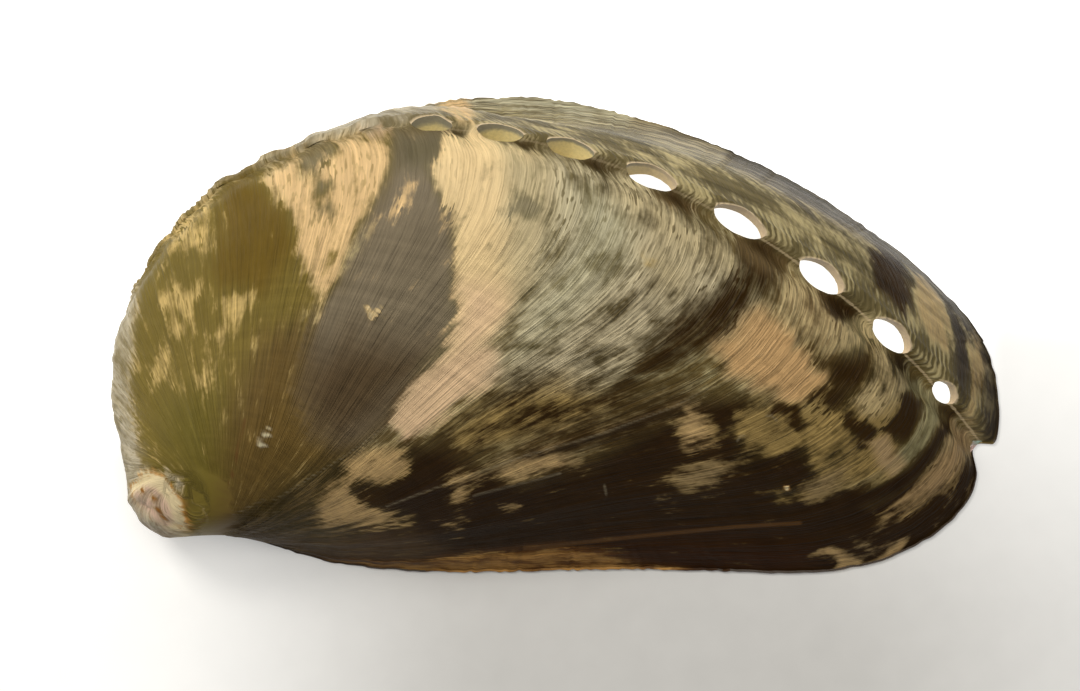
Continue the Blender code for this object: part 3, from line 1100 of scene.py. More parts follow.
PATCHES = (
    Patch("whole back", 0.35, Tint.OLIVE_BROWN, Tint.GREEN_CREAM, 1.5, (-471, 293, 492, 293, 492, -261,
        -471, -261)),
    Patch("outer band", 0.47, Tint.BAND_OLIVE, Tint.BAND_CREAM, 0.6, (-200, 233, -102, 252, 20, 252,
        164, 213, 338, 120, 415, 57, 456, 1, 471, -56, 469, -103, 449, -103, 420, -51, 361, 8, 287, 67,
        202, 120, 113, 168, 33, 200, -41, 220, -113, 227, -195, 217)),
    Patch("steep outer side", 0.5, Tint.OUTER_GREY, Tint.GREY_CREAM, 0.5, (-72, 262, 20, 257, 164, 219,
        338, 127, 415, 62, 471, 1, 482, -102, 464, -87, 456, -27, 433, 21, 395, 62, 333, 107, 246, 157,
        164, 196, 72, 227, 0, 243, -72, 249)),
    Patch("steep outer side left", 0.6, Tint.OLIVE_GREY, Tint.CHIP_WHITE, 0.7, (-80, 262, 20, 259, 95, 244,
        88, 222, 40, 234, -20, 242, -80, 247)),
    Patch("steep outer side right", 0.34, Tint.OUTER_DARK, Tint.DULL_GREY, 0.9, (190, 214, 338, 130,
        415, 62, 471, 1, 482, -102, 464, -87, 456, -27, 433, 21, 395, 62, 333, 107, 250, 158, 195, 186)),
    Patch("first healed hole", 0.6, Tint.DULL_PINK_TAN, Tint.CAP_PINK, 0.35, (-186, 217, -176, 224,
        -164, 226, -152, 224, -149, 219, -159, 214, -173, 212)),
    Patch("upper left band", 0.6, Tint.OLIVE_GREY, Tint.PALE_GREY, 0.8, (-333, 170, -215, 236, -102, 256,
        -106, 233, -149, 227, -195, 215, -246, 200, -285, 185, -323, 153, -369, 108, -389, 113)),
    Patch("olive left", 0.12, Tint.OLIVE, Tint.YELLOW_TAN, 2.0, (-446, 47, -389, 113, -333, 161, -285, 185,
        -246, 113, -228, 47, -285, -5, -316, -76, -333, -199, -400, -199, -446, -97)),
    Patch("left margin", 0.6, Tint.OUTER_OLIVE, Tint.PALE_GREY, 0.8, (-451, 67, -414, 86, -410, 47,
        -417, -5, -419, -56, -409, -107, -400, -138, -422, -169, -451, -97)),
    Patch("left mottle", 0.56, Tint.OLIVE, Tint.YELLOW_TAN, 1.8, (-382, 106, -373, 121, -353, 145,
        -333, 153, -329, 130, -332, 83, -349, 94, -365, 86, -382, 78)),
    Patch("left low mottle", 0.64, Tint.OLIVE, Tint.YELLOW_TAN, 1.6, (-393, 47, -380, 59, -359, 63,
        -341, 59, -353, 43, -359, 19, -376, -12, -384, -44, -396, -44, -393, -12, -382, 19, -384, 35)),
    Patch("olive spots", 0.66, Tint.OLIVE, Tint.YELLOW_TAN, 1.2, (-326, 55, -302, 61, -290, 49, -305, 25,
        -322, -1, -333, -24, -341, -59, -359, -63, -367, -44, -345, -22, -333, -1, -339, 12, -318, 27,
        -329, 43)),
    Patch("olive wedge", 0.0, Tint.WEDGE_OLIVE, Tint.YELLOW_TAN, 1.5, (-329, 152, -305, 175, -284, 160,
        -262, 139, -251, 105, -266, 78, -284, 51, -302, 62, -326, 60, -335, 78, -328, 113)),
    Patch("green low", 0.03, Tint.GREEN_OLIVE, Tint.YELLOW_TAN, 3.0, (-384, -56, -333, -40, -320, -97,
        -326, -158, -343, -179, -364, -128, -389, -97)),
    Patch("upper tan", 0.74, Tint.OLIVE, Tint.CREAM_TAN, 1.2, (-284, 173, -262, 192, -245, 198, -247, 175,
        -225, 180, -214, 206, -191, 214, -159, 217, -146, 213, -147, 187, -159, 159, -172, 134, -187, 108,
        -198, 90, -208, 62, -223, 43, -237, 66, -249, 94, -255, 121, -262, 141)),
    Patch("upper tan spot", 0.25, Tint.OLIVE_GREY, Tint.CREAM_TAN, 1.0, (-245, 194, -220, 204, -214, 198,
        -225, 180, -241, 178)),
    Patch("upper tan spot low", 0.3, Tint.OLIVE_GREY, Tint.CREAM_TAN, 1.0, (-230, 170, -217, 173,
        -214, 160, -228, 157)),
    Patch("upper tan spot lower", 0.3, Tint.OLIVE_GREY, Tint.CREAM_TAN, 1.2, (-230, 143, -212, 147,
        -211, 135, -228, 130)),
    Patch("grey wedge", 0.02, Tint.WEDGE_GREY, Tint.CREAM_TAN, 1.3, (-145, 217, -96, 217, -102, 194,
        -112, 184, -110, 171, -97, 154, -91, 140, -88, 103, -84, 75, -81, 30, -91, -4, -102, -25,
        -142, -56, -154, -74, -179, -94, -205, -111, -236, -97, -256, -56, -246, -5, -223, 43, -205, 62,
        -187, 98, -172, 134, -159, 159, -147, 187)),
    Patch("pale patch in wedge", 0.7, Tint.WEDGE_GREY, Tint.CREAM_TAN, 1.3, (-141, 163, -130, 172,
        -124, 163, -134, 142, -151, 127, -156, 134)),
    Patch("pale patch in wedge low", 0.5, Tint.WEDGE_GREY, Tint.GREEN_CREAM, 1.5, (-182, 120, -170, 124,
        -176, 102, -195, 71, -200, 79)),
    Patch("top of wedge", 0.0, Tint.WEDGE_OLIVE_GREY, Tint.CREAM_TAN, 1.5, (-145, 217, -96, 217, -102, 194,
        -113, 182, -133, 178, -146, 185)),
    Patch("low wedge", 0.04, Tint.WEDGE_BROWN, Tint.WEDGE_GREY, 4.0, (-246, -15, -195, 11, -143, 1,
        -94, -7, -102, -25, -142, -56, -154, -74, -179, -94, -205, -111, -236, -97, -256, -56)),
    Patch("fan brown", 0.05, Tint.FAN_BROWN, Tint.YELLOW_TAN, 3.0, (-326, -189, -322, -97, -302, -35,
        -281, 11, -246, 6, -246, -56, -228, -97, -205, -111, -269, -156, -312, -185)),
    Patch("cream zone", 0.9, Tint.GREEN_GREY, Tint.CREAM, 1.1, (-95, 221, -61, 221, -51, 211, -30, 204,
        -4, 204, 6, 197, 5, 149, -5, 98, -11, 66, -24, 48, -35, 30, -47, 12, -77, -7, -102, -30, -91, -4,
        -81, 30, -84, 75, -88, 103, -91, 140, -97, 154, -110, 171, -112, 184, -102, 194)),
    Patch("cream zone right", 0.78, Tint.GREEN_GREY, Tint.CREAM_DULL, 2.0, (-36, 200, 6, 200, 30, 187,
        31, 171, 20, 143, 12, 117, 2, 92, -11, 66, -29, 47, -36, 86, -29, 134, -36, 170)),
    Patch("grey patch in cream", 0.2, Tint.PATCH_GREY, Tint.CREAM_DULL, 1.5, (-41, 129, -35, 141, -28, 148,
        -12, 154, 3, 149, 0, 138, -25, 131)),
    Patch("pink cream", 0.95, Tint.GREEN_GREY, Tint.PINK_CREAM, 2.5, (-80, 62, -41, 57, -33, 30, -47, 12,
        -72, -25, -102, -40, -123, -56, -113, -27, -90, -4, -81, 30)),
    Patch("pink foot", 0.93, Tint.BROWN, Tint.PINK_CREAM, 0.8, (-142, -55, -123, -36, -92, -17, -61, -5,
        -41, -7, -36, -27, -52, -43, -85, -55, -101, -76, -138, -100, -146, -88, -154, -78)),
    Patch("streaks", 0.54, Tint.STREAK_DARK, Tint.STREAK_LIGHT, 2.5, (16, 194, 61, 182, 113, 154, 164, 116,
        210, 86, 231, 57, 205, 26, 154, 6, 102, -25, 51, -56, 0, -71, -41, -56, -46, -27, -33, 6, -10, 51,
        8, 96, 20, 143)),
    Patch("green streaks", 0.62, Tint.GREEN_GREY, Tint.MIST_GREEN, 3.0, (36, 165, 77, 159, 102, 134,
        92, 88, 61, 57, 20, 16, -20, -5, -10, 36, 15, 83, 31, 124)),
    Patch("streaks by the row", 0.6, Tint.STREAK_DARK, Tint.CREAM_DULL, 2.0, (61, 180, 113, 159, 164, 122,
        225, 86, 213, 72, 164, 86, 113, 113, 80, 144)),
    Patch("warm streaks", 0.84, Tint.STREAK_DARK, Tint.CREAM_DULL, 2.5, (102, 98, 128, 103, 154, 77,
        143, 55, 118, 62)),
    Patch("mottle under streaks", 0.5, Tint.DEEP_BROWN, Tint.CHECK_TAN, 2.0, (-102, -81, -41, -44, 20, -35,
        72, -48, 102, -51, 61, -81, 20, -97, -20, -103, -72, -115, -97, -112)),
    Patch("dark swath", 0.36, Tint.DEEP_BROWN, Tint.STREAK_DARK, 1.6, (225, 106, 244, 88, 242, 62, 222, 44,
        204, 11, 178, -1, 149, -17, 123, -31, 76, -56, 51, -64, 82, -35, 130, 16, 160, 44, 186, 59,
        204, 80, 209, 102)),
    Patch("brown streaks", 0.33, Tint.DEEP_BROWN, Tint.STREAK_BROWN, 2.0, (-41, -119, 0, -97, 61, -76,
        123, -46, 154, -40, 154, -68, 102, -97, 20, -119, -20, -128)),
    Patch("bottom dark", 0.02, Tint.BLACK_BROWN, Tint.CHECK_TAN, 1.8, (-312, -186, -269, -156, -225, -128,
        -200, -115, -143, -103, -102, -97, -72, -119, -20, -136, 61, -115, 123, -81, 164, -54, 225, -56,
        266, -97, 279, -138, 338, -155, 374, -138, 410, -107, 446, -122, 461, -158, 369, -235, 102, -245,
        -143, -245, -266, -220)),
    Patch("brown bottom", 0.03, Tint.RED_BROWN, Tint.CHECK_TAN, 3.0, (61, -204, 164, -199, 266, -204,
        307, -220, 246, -240, 102, -240)),
    Patch("low left sheen", 0.2, Tint.SHEEN_BROWN, Tint.STREAK_BROWN, 2.0, (-326, -187, -277, -187,
        -205, -189, -123, -199, -102, -210, -123, -220, -195, -220, -256, -212, -297, -199)),
    Patch("dark left of tan", 0.28, Tint.DEEP_OLIVE, Tint.CHECK_TAN, 1.5, (-261, -158, -215, -126,
        -195, -119, -203, -138, -220, -158, -228, -181, -277, -181)),
    Patch("left foot", 0.4, Tint.DEEP_OLIVE, Tint.STREAK_BROWN, 1.8, (-310, -184, -269, -154, -220, -123,
        -195, -114, -200, -140, -225, -165, -185, -193, -220, -202, -280, -196)),
    Patch("inner lip", 0.55, Tint.RUST, Tint.ORANGE_BROWN, 0.6, (-246, -217, -189, -220, -123, -221,
        -102, -216, -58, -212, 20, -207, 61, -213, 102, -221, 154, -227, 102, -240, 20, -242, -72, -242,
        -143, -240, -215, -235)),
    Patch("low tan", 0.8, Tint.DEEP_OLIVE, Tint.LOW_TAN, 1.1, (-197, -117, -179, -106, -146, -102,
        -136, -111, -138, -128, -158, -139, -189, -145, -184, -156, -154, -174, -130, -178, -134, -184,
        -197, -186, -223, -185, -225, -165, -214, -148, -199, -133)),
    Patch("low tan gap", 0.1, Tint.DEEP_BROWN, Tint.LOW_TAN, 0.8, (-193, -150, -172, -144, -156, -154,
        -152, -169, -176, -161)),
    Patch("mid low tan", 0.66, Tint.DEEP_BROWN, Tint.LOW_TAN, 1.4, (-95, -143, -85, -129, -58, -129,
        -27, -119, -7, -109, 20, -109, 47, -124, 20, -129, -7, -129, -31, -139, -47, -136, -74, -144,
        -76, -156, -83, -169, -93, -160)),
    Patch("low dashes", 0.5, Tint.BLACK_BROWN, Tint.LOW_TAN, 0.6, (-111, -179, -90, -180, -74, -177,
        -74, -182, -92, -185, -109, -184)),
    Patch("low dashes two", 0.5, Tint.BLACK_BROWN, Tint.LOW_TAN, 0.6, (-102, -188, -90, -186, -76, -187,
        -78, -192, -100, -193)),
    Patch("low dashes three", 0.5, Tint.BLACK_BROWN, Tint.LOW_TAN, 0.6, (-42, -162, -31, -163, -18, -161,
        -20, -167, -39, -169)),
    Patch("orange tan", 0.86, Tint.BROWN, Tint.ORANGE_TAN, 1.5, (178, 1, 200, 8, 213, 29, 225, 37, 246, 33,
        258, 15, 277, -11, 303, -35, 293, -53, 264, -65, 240, -52, 228, -48, 211, -38, 189, -26)),
    Patch("row tan", 0.62, Tint.STREAK_BROWN, Tint.ROW_TAN, 1.5, (245, 86, 266, 72, 291, 55, 310, 38,
        326, 11, 318, -7, 297, -13, 275, 1, 256, 24, 241, 44, 244, 62)),
    Patch("row green", 0.55, Tint.GREEN_GREY, Tint.ROW_TAN, 1.5, (310, 42, 330, 28, 353, 1, 349, -7,
        334, -1, 318, -11, 305, 1, 314, 21)),
    Patch("dark by third hole", 0.16, Tint.DEEP_BROWN, Tint.ROW_TAN, 0.7, (289, 53, 314, 50, 326, 36,
        318, 28, 303, 24, 293, 36)),
    Patch("dark by fourth hole", 0.1, Tint.STREAK_BROWN, Tint.ROW_TAN, 1.0, (203, 107, 231, 105, 245, 92,
        244, 75, 225, 77, 210, 90)),
    Patch("dark by fifth hole", 0.45, Tint.STREAK_BROWN, Tint.CREAM_DULL, 0.8, (115, 157, 143, 156,
        164, 144, 156, 137, 131, 143)),
    Patch("checker ground", 0.62, Tint.DEEP_OLIVE, Tint.CHECK_TAN, 1.5, (261, -66, 293, -54, 313, -42,
        338, -44, 369, -51, 374, -87, 374, -122, 359, -136, 307, -148, 272, -150, 246, -158, 236, -128,
        205, -119, 200, -87, 225, -61)),
    Patch("green stripes", 0.7, Tint.DEEP_OLIVE, Tint.ROW_GREEN, 0.8, (355, -7, 374, -20, 388, -42,
        405, -56, 410, -79, 396, -105, 376, -119, 362, -128, 353, -117, 369, -105, 384, -91, 394, -71,
        387, -56, 369, -48, 354, -40, 344, -25)),
    Patch("green stripes up", 0.62, Tint.DEEP_OLIVE, Tint.ROW_TAN, 1.0, (336, 1, 353, -5, 369, -17,
        374, -40, 364, -51, 349, -66, 336, -68, 318, -58, 330, -44, 340, -23)),
    Patch("dark check a", 0.2, Tint.DEEP_BROWN, Tint.CHECK_TAN, 1.4, (280, -8, 299, -16, 320, -11, 330, -2,
        340, -4, 340, -24, 332, -42, 317, -44, 311, -60, 294, -65, 275, -60, 279, -49, 299, -42,
        296, -27)),
    Patch("dark check b", 0.03, Tint.DEEP_BROWN, Tint.CHECK_TAN, 0.6, (367, -48, 392, -59, 389, -76,
        379, -93, 361, -96, 346, -86, 359, -68)),
    Patch("dark check c", 0.08, Tint.DEEP_BROWN, Tint.CHECK_TAN, 0.6, (312, -74, 327, -69, 343, -83,
        338, -93, 330, -105, 317, -99, 323, -91)),
    Patch("dark check d", 0.04, Tint.BLACK_BROWN, Tint.CHECK_TAN, 1.3, (213, -117, 255, -106, 273, -109,
        280, -133, 265, -145, 225, -145, 205, -136)),
    Patch("dark check e", 0.15, Tint.DEEP_BROWN, Tint.CHECK_TAN, 0.8, (248, -54, 266, -64, 275, -76,
        266, -89, 252, -81, 234, -70)),
    Patch("tan check a", 0.85, Tint.BROWN, Tint.DULL_PINK_TAN, 0.8, (332, -97, 353, -93, 362, -106,
        373, -118, 360, -130, 346, -120)),
    Patch("tan check b", 0.82, Tint.DEEP_BROWN, Tint.CHECK_TAN, 1.4, (205, -75, 236, -68, 254, -79,
        266, -96, 251, -109, 236, -114, 222, -105, 210, -117, 203, -107, 215, -93)),
    Patch("tan check c", 0.75, Tint.DEEP_BROWN, Tint.LOW_TAN, 1.5, (145, -58, 163, -59, 177, -81, 179, -96,
        163, -108, 148, -108, 143, -81)),
    Patch("tan check d", 0.68, Tint.DEEP_BROWN, Tint.DULL_TAN, 1.8, (155, -119, 180, -115, 199, -118,
        187, -145, 145, -152, 122, -138)),
    Patch("tan check e", 0.45, Tint.BLACK_BROWN, Tint.DULL_TAN, 0.8, (122, -159, 137, -161, 148, -175,
        133, -182, 124, -175)),
    Patch("tan check f", 0.7, Tint.BLACK_BROWN, Tint.DULL_TAN, 1.5, (266, -144, 279, -136, 307, -128,
        303, -146, 289, -158, 273, -161)),
    Patch("dark arc", 0.02, Tint.BLACK_BROWN, Tint.CHECK_TAN, 0.6, (418, -63, 429, -66, 419, -93,
        403, -118, 373, -145, 340, -159, 307, -167, 303, -152, 349, -139, 380, -124, 402, -101, 413, -76)),
    Patch("lip tan", 0.82, Tint.DEEP_BROWN, Tint.LIP_TAN, 1.2, (421, -72, 439, -86, 443, -102, 435, -125,
        414, -149, 385, -165, 346, -186, 372, -158, 397, -135, 416, -105)),
    Patch("lip dark", 0.14, Tint.BLACK_BROWN, Tint.DULL_TAN, 1.0, (443, -115, 461, -128, 451, -158,
        421, -182, 389, -206, 340, -226, 307, -232, 324, -191, 373, -187, 405, -171, 426, -142)),
    Patch("bottom tan a", 0.8, Tint.BLACK_BROWN, Tint.LOW_TAN, 0.7, (287, -206, 301, -204, 316, -215,
        330, -223, 320, -235, 305, -232, 301, -222, 279, -220)),
    Patch("bottom tan b", 0.7, Tint.BLACK_BROWN, Tint.LOW_TAN, 0.7, (336, -225, 349, -212, 369, -196,
        375, -197, 373, -212, 353, -228)),
    Patch("band dark", 0.05, Tint.DEEP_BROWN, Tint.BAND_CREAM, 0.7, (338, 104, 349, 98, 368, 85, 379, 53,
        377, 30, 367, 33, 353, 51, 340, 56)),
    Patch("band olive smooth", 0.15, Tint.BAND_OLIVE, Tint.BAND_CREAM, 1.5, (164, 190, 205, 175, 236, 144,
        225, 134, 195, 154, 169, 170)),
    Patch("band olive smooth two", 0.15, Tint.BAND_OLIVE, Tint.BAND_CREAM, 1.5, (61, 231, 102, 221,
        113, 209, 82, 206, 56, 216)),
    Patch("band tan", 0.96, Tint.BAND_OLIVE, Tint.BAND_TAN, 0.5, (379, 70, 392, 70, 409, 51, 421, 21,
        423, -7, 413, -7, 403, 1, 387, 24, 381, 51)),
    Patch("row strip", 0.14, Tint.BAND_OLIVE, Tint.BAND_CREAM, 0.6, (323, 55, 362, 35, 395, 5, 425, -21,
        433, -35, 420, -39, 395, -13, 374, 8, 349, 30, 318, 47)),
    Patch("band dark two", 0.05, Tint.DEEP_GREY, Tint.BAND_CREAM, 0.6, (418, 43, 438, 16, 439, -23,
        433, -54, 427, -33, 424, -1)),
    Patch("band tan two", 0.9, Tint.BROWN, Tint.BAND_TAN, 0.6, (442, 10, 450, 1, 455, -23, 449, -62,
        444, -91, 435, -67, 441, -38)),
    Patch("lip outer grey", 0.35, Tint.DEEP_GREY, Tint.OUTER_GREY, 0.6, (455, -5, 469, -27, 476, -66,
        467, -103, 451, -97, 454, -64, 459, -27)),
    Patch("band tan top", 0.92, Tint.BAND_OLIVE, Tint.CREAM_TAN, 0.6, (-109, 253, -76, 257, -66, 232,
        -71, 221, -81, 234, -94, 239)),
    Patch("cap rim", 0.35, Tint.CAP_ORANGE, Tint.CAP_CREAM, 0.2, (-420, -153, -419, -144, -409, -130,
        -397, -128, -386, -132, -375, -145, -367, -159, -362, -173, -361, -191, -372, -197, -396, -185,
        -412, -169)),
    Patch("cap ring", 1.0, Tint.CAP_ORANGE, Tint.CAP_CREAM, 0.2, (-418, -152, -416, -145, -407, -133,
        -397, -131, -388, -136, -378, -148, -370, -161, -366, -175, -366, -189, -374, -192, -394, -182,
        -410, -167)),
    Patch("cap heart", 0.55, Tint.CAP_GREY, Tint.CAP_PINK, 0.3, (-417, -153, -411, -147, -402, -143,
        -394, -146, -386, -155, -379, -167, -376, -180, -381, -189, -394, -183, -409, -169)),
    Patch("cap spots", 0.05, Tint.CAP_BROWN, Tint.CAP_CREAM, 0.2, (-411, -147, -406, -146, -405, -151,
        -410, -152)),
    Patch("cap spots two", 0.05, Tint.CAP_BROWN, Tint.CAP_CREAM, 0.2, (-401, -154, -396, -153, -391, -159,
        -395, -161)),
    Patch("cap spots three", 0.05, Tint.CAP_BROWN, Tint.CAP_CREAM, 0.2, (-397, -165, -391, -165,
        -386, -171, -391, -173)),
    Patch("cap spots four", 0.1, Tint.CAP_BROWN, Tint.CAP_CREAM, 0.2, (-389, -174, -384, -173, -381, -179,
        -386, -180)),
    Patch("under cap", 0.5, Tint.CAP_GREY, Tint.PALE_GREY, 0.5, (-422, -152, -412, -161, -398, -176,
        -384, -187, -363, -193, -371, -208, -400, -194, -422, -171)),
    Patch("worn by cap", 0.75, Tint.GREEN_OLIVE, Tint.PALE_GREY, 0.6, (-389, -125, -383, -124, -371, -136,
        -365, -138, -365, -152, -371, -150, -379, -140)),
    Patch("white chip", 1.0, Tint.PALE_GREY, Tint.CHIP_WHITE, 0.2, (-283, -88, -276, -83, -279, -92,
        -284, -95, -285, -103, -289, -104, -287, -94)),
    Patch("nub", 1.0, Tint.YELLOW_TAN, Tint.YELLOW_TAN, 0.3, (101, 90, 111, 88, 119, 81, 113, 79)),
    # A cream spot on a small chip: partly the chip's pale colour, partly its painted glint.
    Patch("pale chip with painted glint", 1.0, Tint.CAP_ORANGE, Tint.CAP_CREAM, 0.2, (250, -141, 255, -141, 258, -148,
        254, -149)),
    Patch("knob mark", 1.0, Tint.YELLOW_TAN, Tint.GREY_CREAM, 0.25, (-177, 35, -167, 38, -163, 33,
        -170, 27, -176, 29)),
)


@dataclass
class Net:
    """An even net of quads over the dome, which both skins of the wall are made from."""

    coil: Coil
    centre: Pair = (2.0, 0.5)
    reach: Triple = (46.0, 25.0, 21.0)
    length: int = 360
    width: int = 200
    knob_centre: Triple = (-35.6, -15.0, 6.2)
    knob_radii: Triple = (6.6, 6.6, 6.6)
    knob_blend: float = 14.0
    knob_passes: int = 160
    ball_rows: int = 60
    ball_pole: float = 0.001
    ray_start: float = 2.0
    wall: float = 0.95
    callus: float = 3.0
    shelf_width: float = 4.0
    shelf_height: float = 2.8
    shelf_from: float = 128.0
    shelf_to: float = 318.0
    shelf_fade: float = 34.0
    shelf_low: float = 0.6
    rim_lift: float = 0.3
    rim_gap: float = 0.03
    lift_walls: float = 2.0
    row_wall: float = 0.36
    row_reach: float = 2.0
    row_wall_turns: Pair = (34.0, 52.0)
    callus_turns: Pair = (41.0, 53.0)
    callus_reach: float = 4.0
    callus_full: float = 0.3
    even_share: float = 0.5
    even_all: int = 12
    even_passes: int = 60
    bulges: Points = (
        (0.0, 0.0), (104.0, 0.0), (114.2, 0.82), (123.9, 1.13), (133.0, 0.56), (140.0, -0.15),
        (145.1, -0.5), (150.2, -0.5), (155.0, -0.2), (160.9, -0.5), (171.1, -0.4),
        (175.6, 0.0), (184.5, 0.45), (192.1, 0.45), (197.0, 0.05), (203.8, 0.35),
        (206.6, 0.2), (208.0, -0.9), (209.5, -2.1), (213.4, -1.0), (217.3, 0.0), (360.0, 0.0),
    )
    bulge_from: float = 0.80
    bulge_to: float = 0.96
    bulge_cells: int = 180
    chip: float = 0.10
    chip_pace: float = 0.9
    chip_seed: int = 23

    def reaches(self) -> Array:
        """Lay the net over an even dome.

        Returns:
            The way from the net's centre to each point.
        """
        u, v = np.meshgrid(np.linspace(-1.0, 1.0, self.length + 1),
                           np.linspace(-1.0, 1.0, self.width + 1), indexing="ij")
        x = u * np.sqrt(1.0 - v * v / 2.0)
        y = v * np.sqrt(1.0 - u * u / 2.0)
        down = np.minimum(np.hypot(x, y), 1.0) * math.pi / 2
        heading = np.arctan2(y, x)
        out = np.stack([self.reach[0] * np.sin(down) * np.cos(heading),
                        self.reach[1] * np.sin(down) * np.sin(heading),
                        self.reach[2] * np.cos(down)], axis=2)
        out[self.rim(), 2] = 0.0
        return out

    def rim(self) -> Array:
        """Find the net's own border, which is the rim of the shell.

        Returns:
            True for each point on it.
        """
        mask = np.zeros((self.length + 1, self.width + 1), bool)
        mask[[0, -1], :] = True
        mask[:, [0, -1]] = True
        return mask

    def outer(self, surface: Grid) -> Array:
        """The outside of the shell, met by rays that run in from all round the dome.

        Args:
            surface: The swept surface.

        Returns:
            The net's points.
        """
        centre = np.array([*self.centre, 0.0])
        knob = self.ball()
        reaches = self.reaches()
        share = np.zeros(reaches.shape[:2])
        for i, j in np.ndindex(*share.shape):
            reach = Vector(reaches[i, j])
            start = Vector(centre) + self.ray_start * reach
            hits = [tree.ray_cast(start, -reach)[3] for tree in (surface.tree, knob.tree)]
            gap = min(gap for gap in hits if gap is not None)
            share[i, j] = self.ray_start - gap / reach.length
        net = centre + reaches * share[..., None]
        away = np.linalg.norm(net - np.array(self.knob_centre), axis=2)
        weight = 1.0 - smooth(away, self.knob_blend / 2, self.knob_blend)
        for _ in range(self.knob_passes):
            share = share + weight * (neighbours(np.pad(share, 1, mode="edge")) - share)
        return self.bulge(centre + reaches * share[..., None])

    def bulge(self, net: Array) -> Array:
        """Push the outline out or in a little, and roughen it.

        Args:
            net: The net's points.

        Returns:
            The moved points.
        """
        flat = net[..., :2] - np.array(self.centre)
        radius = np.linalg.norm(flat, axis=2)
        heading = np.degrees(np.arctan2(flat[..., 1], flat[..., 0])) % 360
        cell_width = 360.0 / self.bulge_cells
        cell = (heading / cell_width).astype(int)
        widest = np.zeros(self.bulge_cells)
        np.maximum.at(widest, cell.ravel(), radius.ravel())
        middles = (np.arange(self.bulge_cells) + 0.5) * cell_width
        outermost = np.interp(heading, middles, widest, period=360.0)
        push = np.interp(heading, *np.array(self.bulges).T)
        places = np.stack([heading.ravel() * self.chip_pace, np.zeros(heading.size)], axis=1)
        push += self.chip * rough_field(places, self.chip_seed).reshape(push.shape)
        push *= smooth(radius / outermost, self.bulge_from, self.bulge_to)
        moved = net.copy()
        moved[..., :2] += flat / np.maximum(radius, NEAR_ZERO)[..., None] * push[..., None]
        return moved

    def ball(self) -> Grid:
        """Make the blunt knob of the spire, which holds the oldest whorls.

        Returns:
            The knob as a grid.
        """
        down, turn = np.meshgrid(
            np.linspace(self.ball_pole, math.pi - self.ball_pole, self.ball_rows),
            np.linspace(0.0, math.tau, 2 * self.ball_rows, endpoint=False), indexing="ij")
        ways = np.stack([np.sin(down) * np.cos(turn), np.sin(down) * np.sin(turn),
                         np.cos(down)], axis=2)
        return Grid(np.array(self.knob_centre) + np.array(self.knob_radii) * ways, closed=True)

    def normals(self, net: Array) -> Array:
        """Work out the way out of the shell.

        Args:
            net: The net's points.

        Returns:
            A vector of length 1 for each point.
        """
        faces = np.cross(net[1:, 1:] - net[:-1, :-1], net[:-1, 1:] - net[1:, :-1])
        out = np.zeros_like(net)
        for part in (out[:-1, :-1], out[1:, :-1], out[:-1, 1:], out[1:, 1:]):
            part += faces
        return out / np.linalg.norm(out, axis=2, keepdims=True)

    def inward(self, net: Array) -> Array:
        """Work out the way through the wall, which is level at the rim.

        Args:
            net: The outside's points.

        Returns:
            A vector of length 1 for each point, towards the outside.
        """
        out = self.normals(net)
        level = out * np.array([1.0, 1.0, 0.0])
        level /= np.maximum(np.linalg.norm(level, axis=2, keepdims=True), NEAR_ZERO)
        lift = smooth(net[..., 2], 0.0, self.lift_walls * self.wall)[..., None]
        inward = level * (1.0 - lift) + out * lift
        return inward / np.linalg.norm(inward, axis=2, keepdims=True)

    def shelf(self, net: Array) -> Array:
        """Work out how far the shelf along the inner lip reaches in.

        Args:
            net: The outside's points.

        Returns:
            The way from the centre outward, as long as the shelf is wide there.
        """
        heading = np.degrees(np.arctan2((net[..., 1] - self.centre[1]) / self.reach[1],
                                        (net[..., 0] - self.centre[0]) / self.reach[0])) % 360
        shelf = (smooth(heading, self.shelf_from, self.shelf_from + self.shelf_fade)
                 * smooth(-heading, -self.shelf_to, self.shelf_fade - self.shelf_to))
        low = 1.0 - smooth(net[..., 2], self.shelf_low, self.shelf_height)
        extra = (self.shelf_width - self.wall) * shelf * low
        away = (net - np.array([*self.centre, 0.0])) / np.square(self.reach)
        away[..., 2] = 0.0
        away /= np.maximum(np.linalg.norm(away, axis=2, keepdims=True), NEAR_ZERO)
        return away * extra[..., None]

    def inner(self, net: Array, turn: Array, across: Array) -> Array:
        """Make the inside: one wall thickness in, with the shelf low along the inner lip.

        Args:
            net: The outside's points.
            turn: When each point was laid down.
            across: How far along the edge it is from the row.

        Returns:
            The inside's points.
        """
        row = np.exp(-(across / self.row_reach) ** 2)
        young = 1.0 - smooth(turn, *self.row_wall_turns)
        thick = self.wall - (self.wall - self.row_wall) * row * young
        callus = smooth(turn, *self.callus_turns) * np.exp(-(across / self.callus_reach) ** 2)
        thick += self.callus * callus
        inner = net - self.inward(net) * thick[..., None] - self.shelf(net)
        over_callus = self.even_share * smooth(callus[1:-1, 1:-1, None], 0.0, self.callus_full)
        for step in range(self.even_passes):
            even = self.even_share if step < self.even_all else over_callus
            inner[1:-1, 1:-1] += even * (neighbours(inner) - inner[1:-1, 1:-1])
        inner[..., 2] = inner[..., 2].clip(min=self.rim_lift + self.rim_gap)
        return inner


@dataclass(frozen=True)
class Roll:
    """A rounded ridge that follows the row of holes, or a trough where its rise is below 0."""

    rise: float
    place: float
    width: float

    def heights(self, across: Array) -> Array:
        """Its heights at some distances from the row."""
        return self.rise * np.exp(-((across - self.place) / self.width) ** 2)


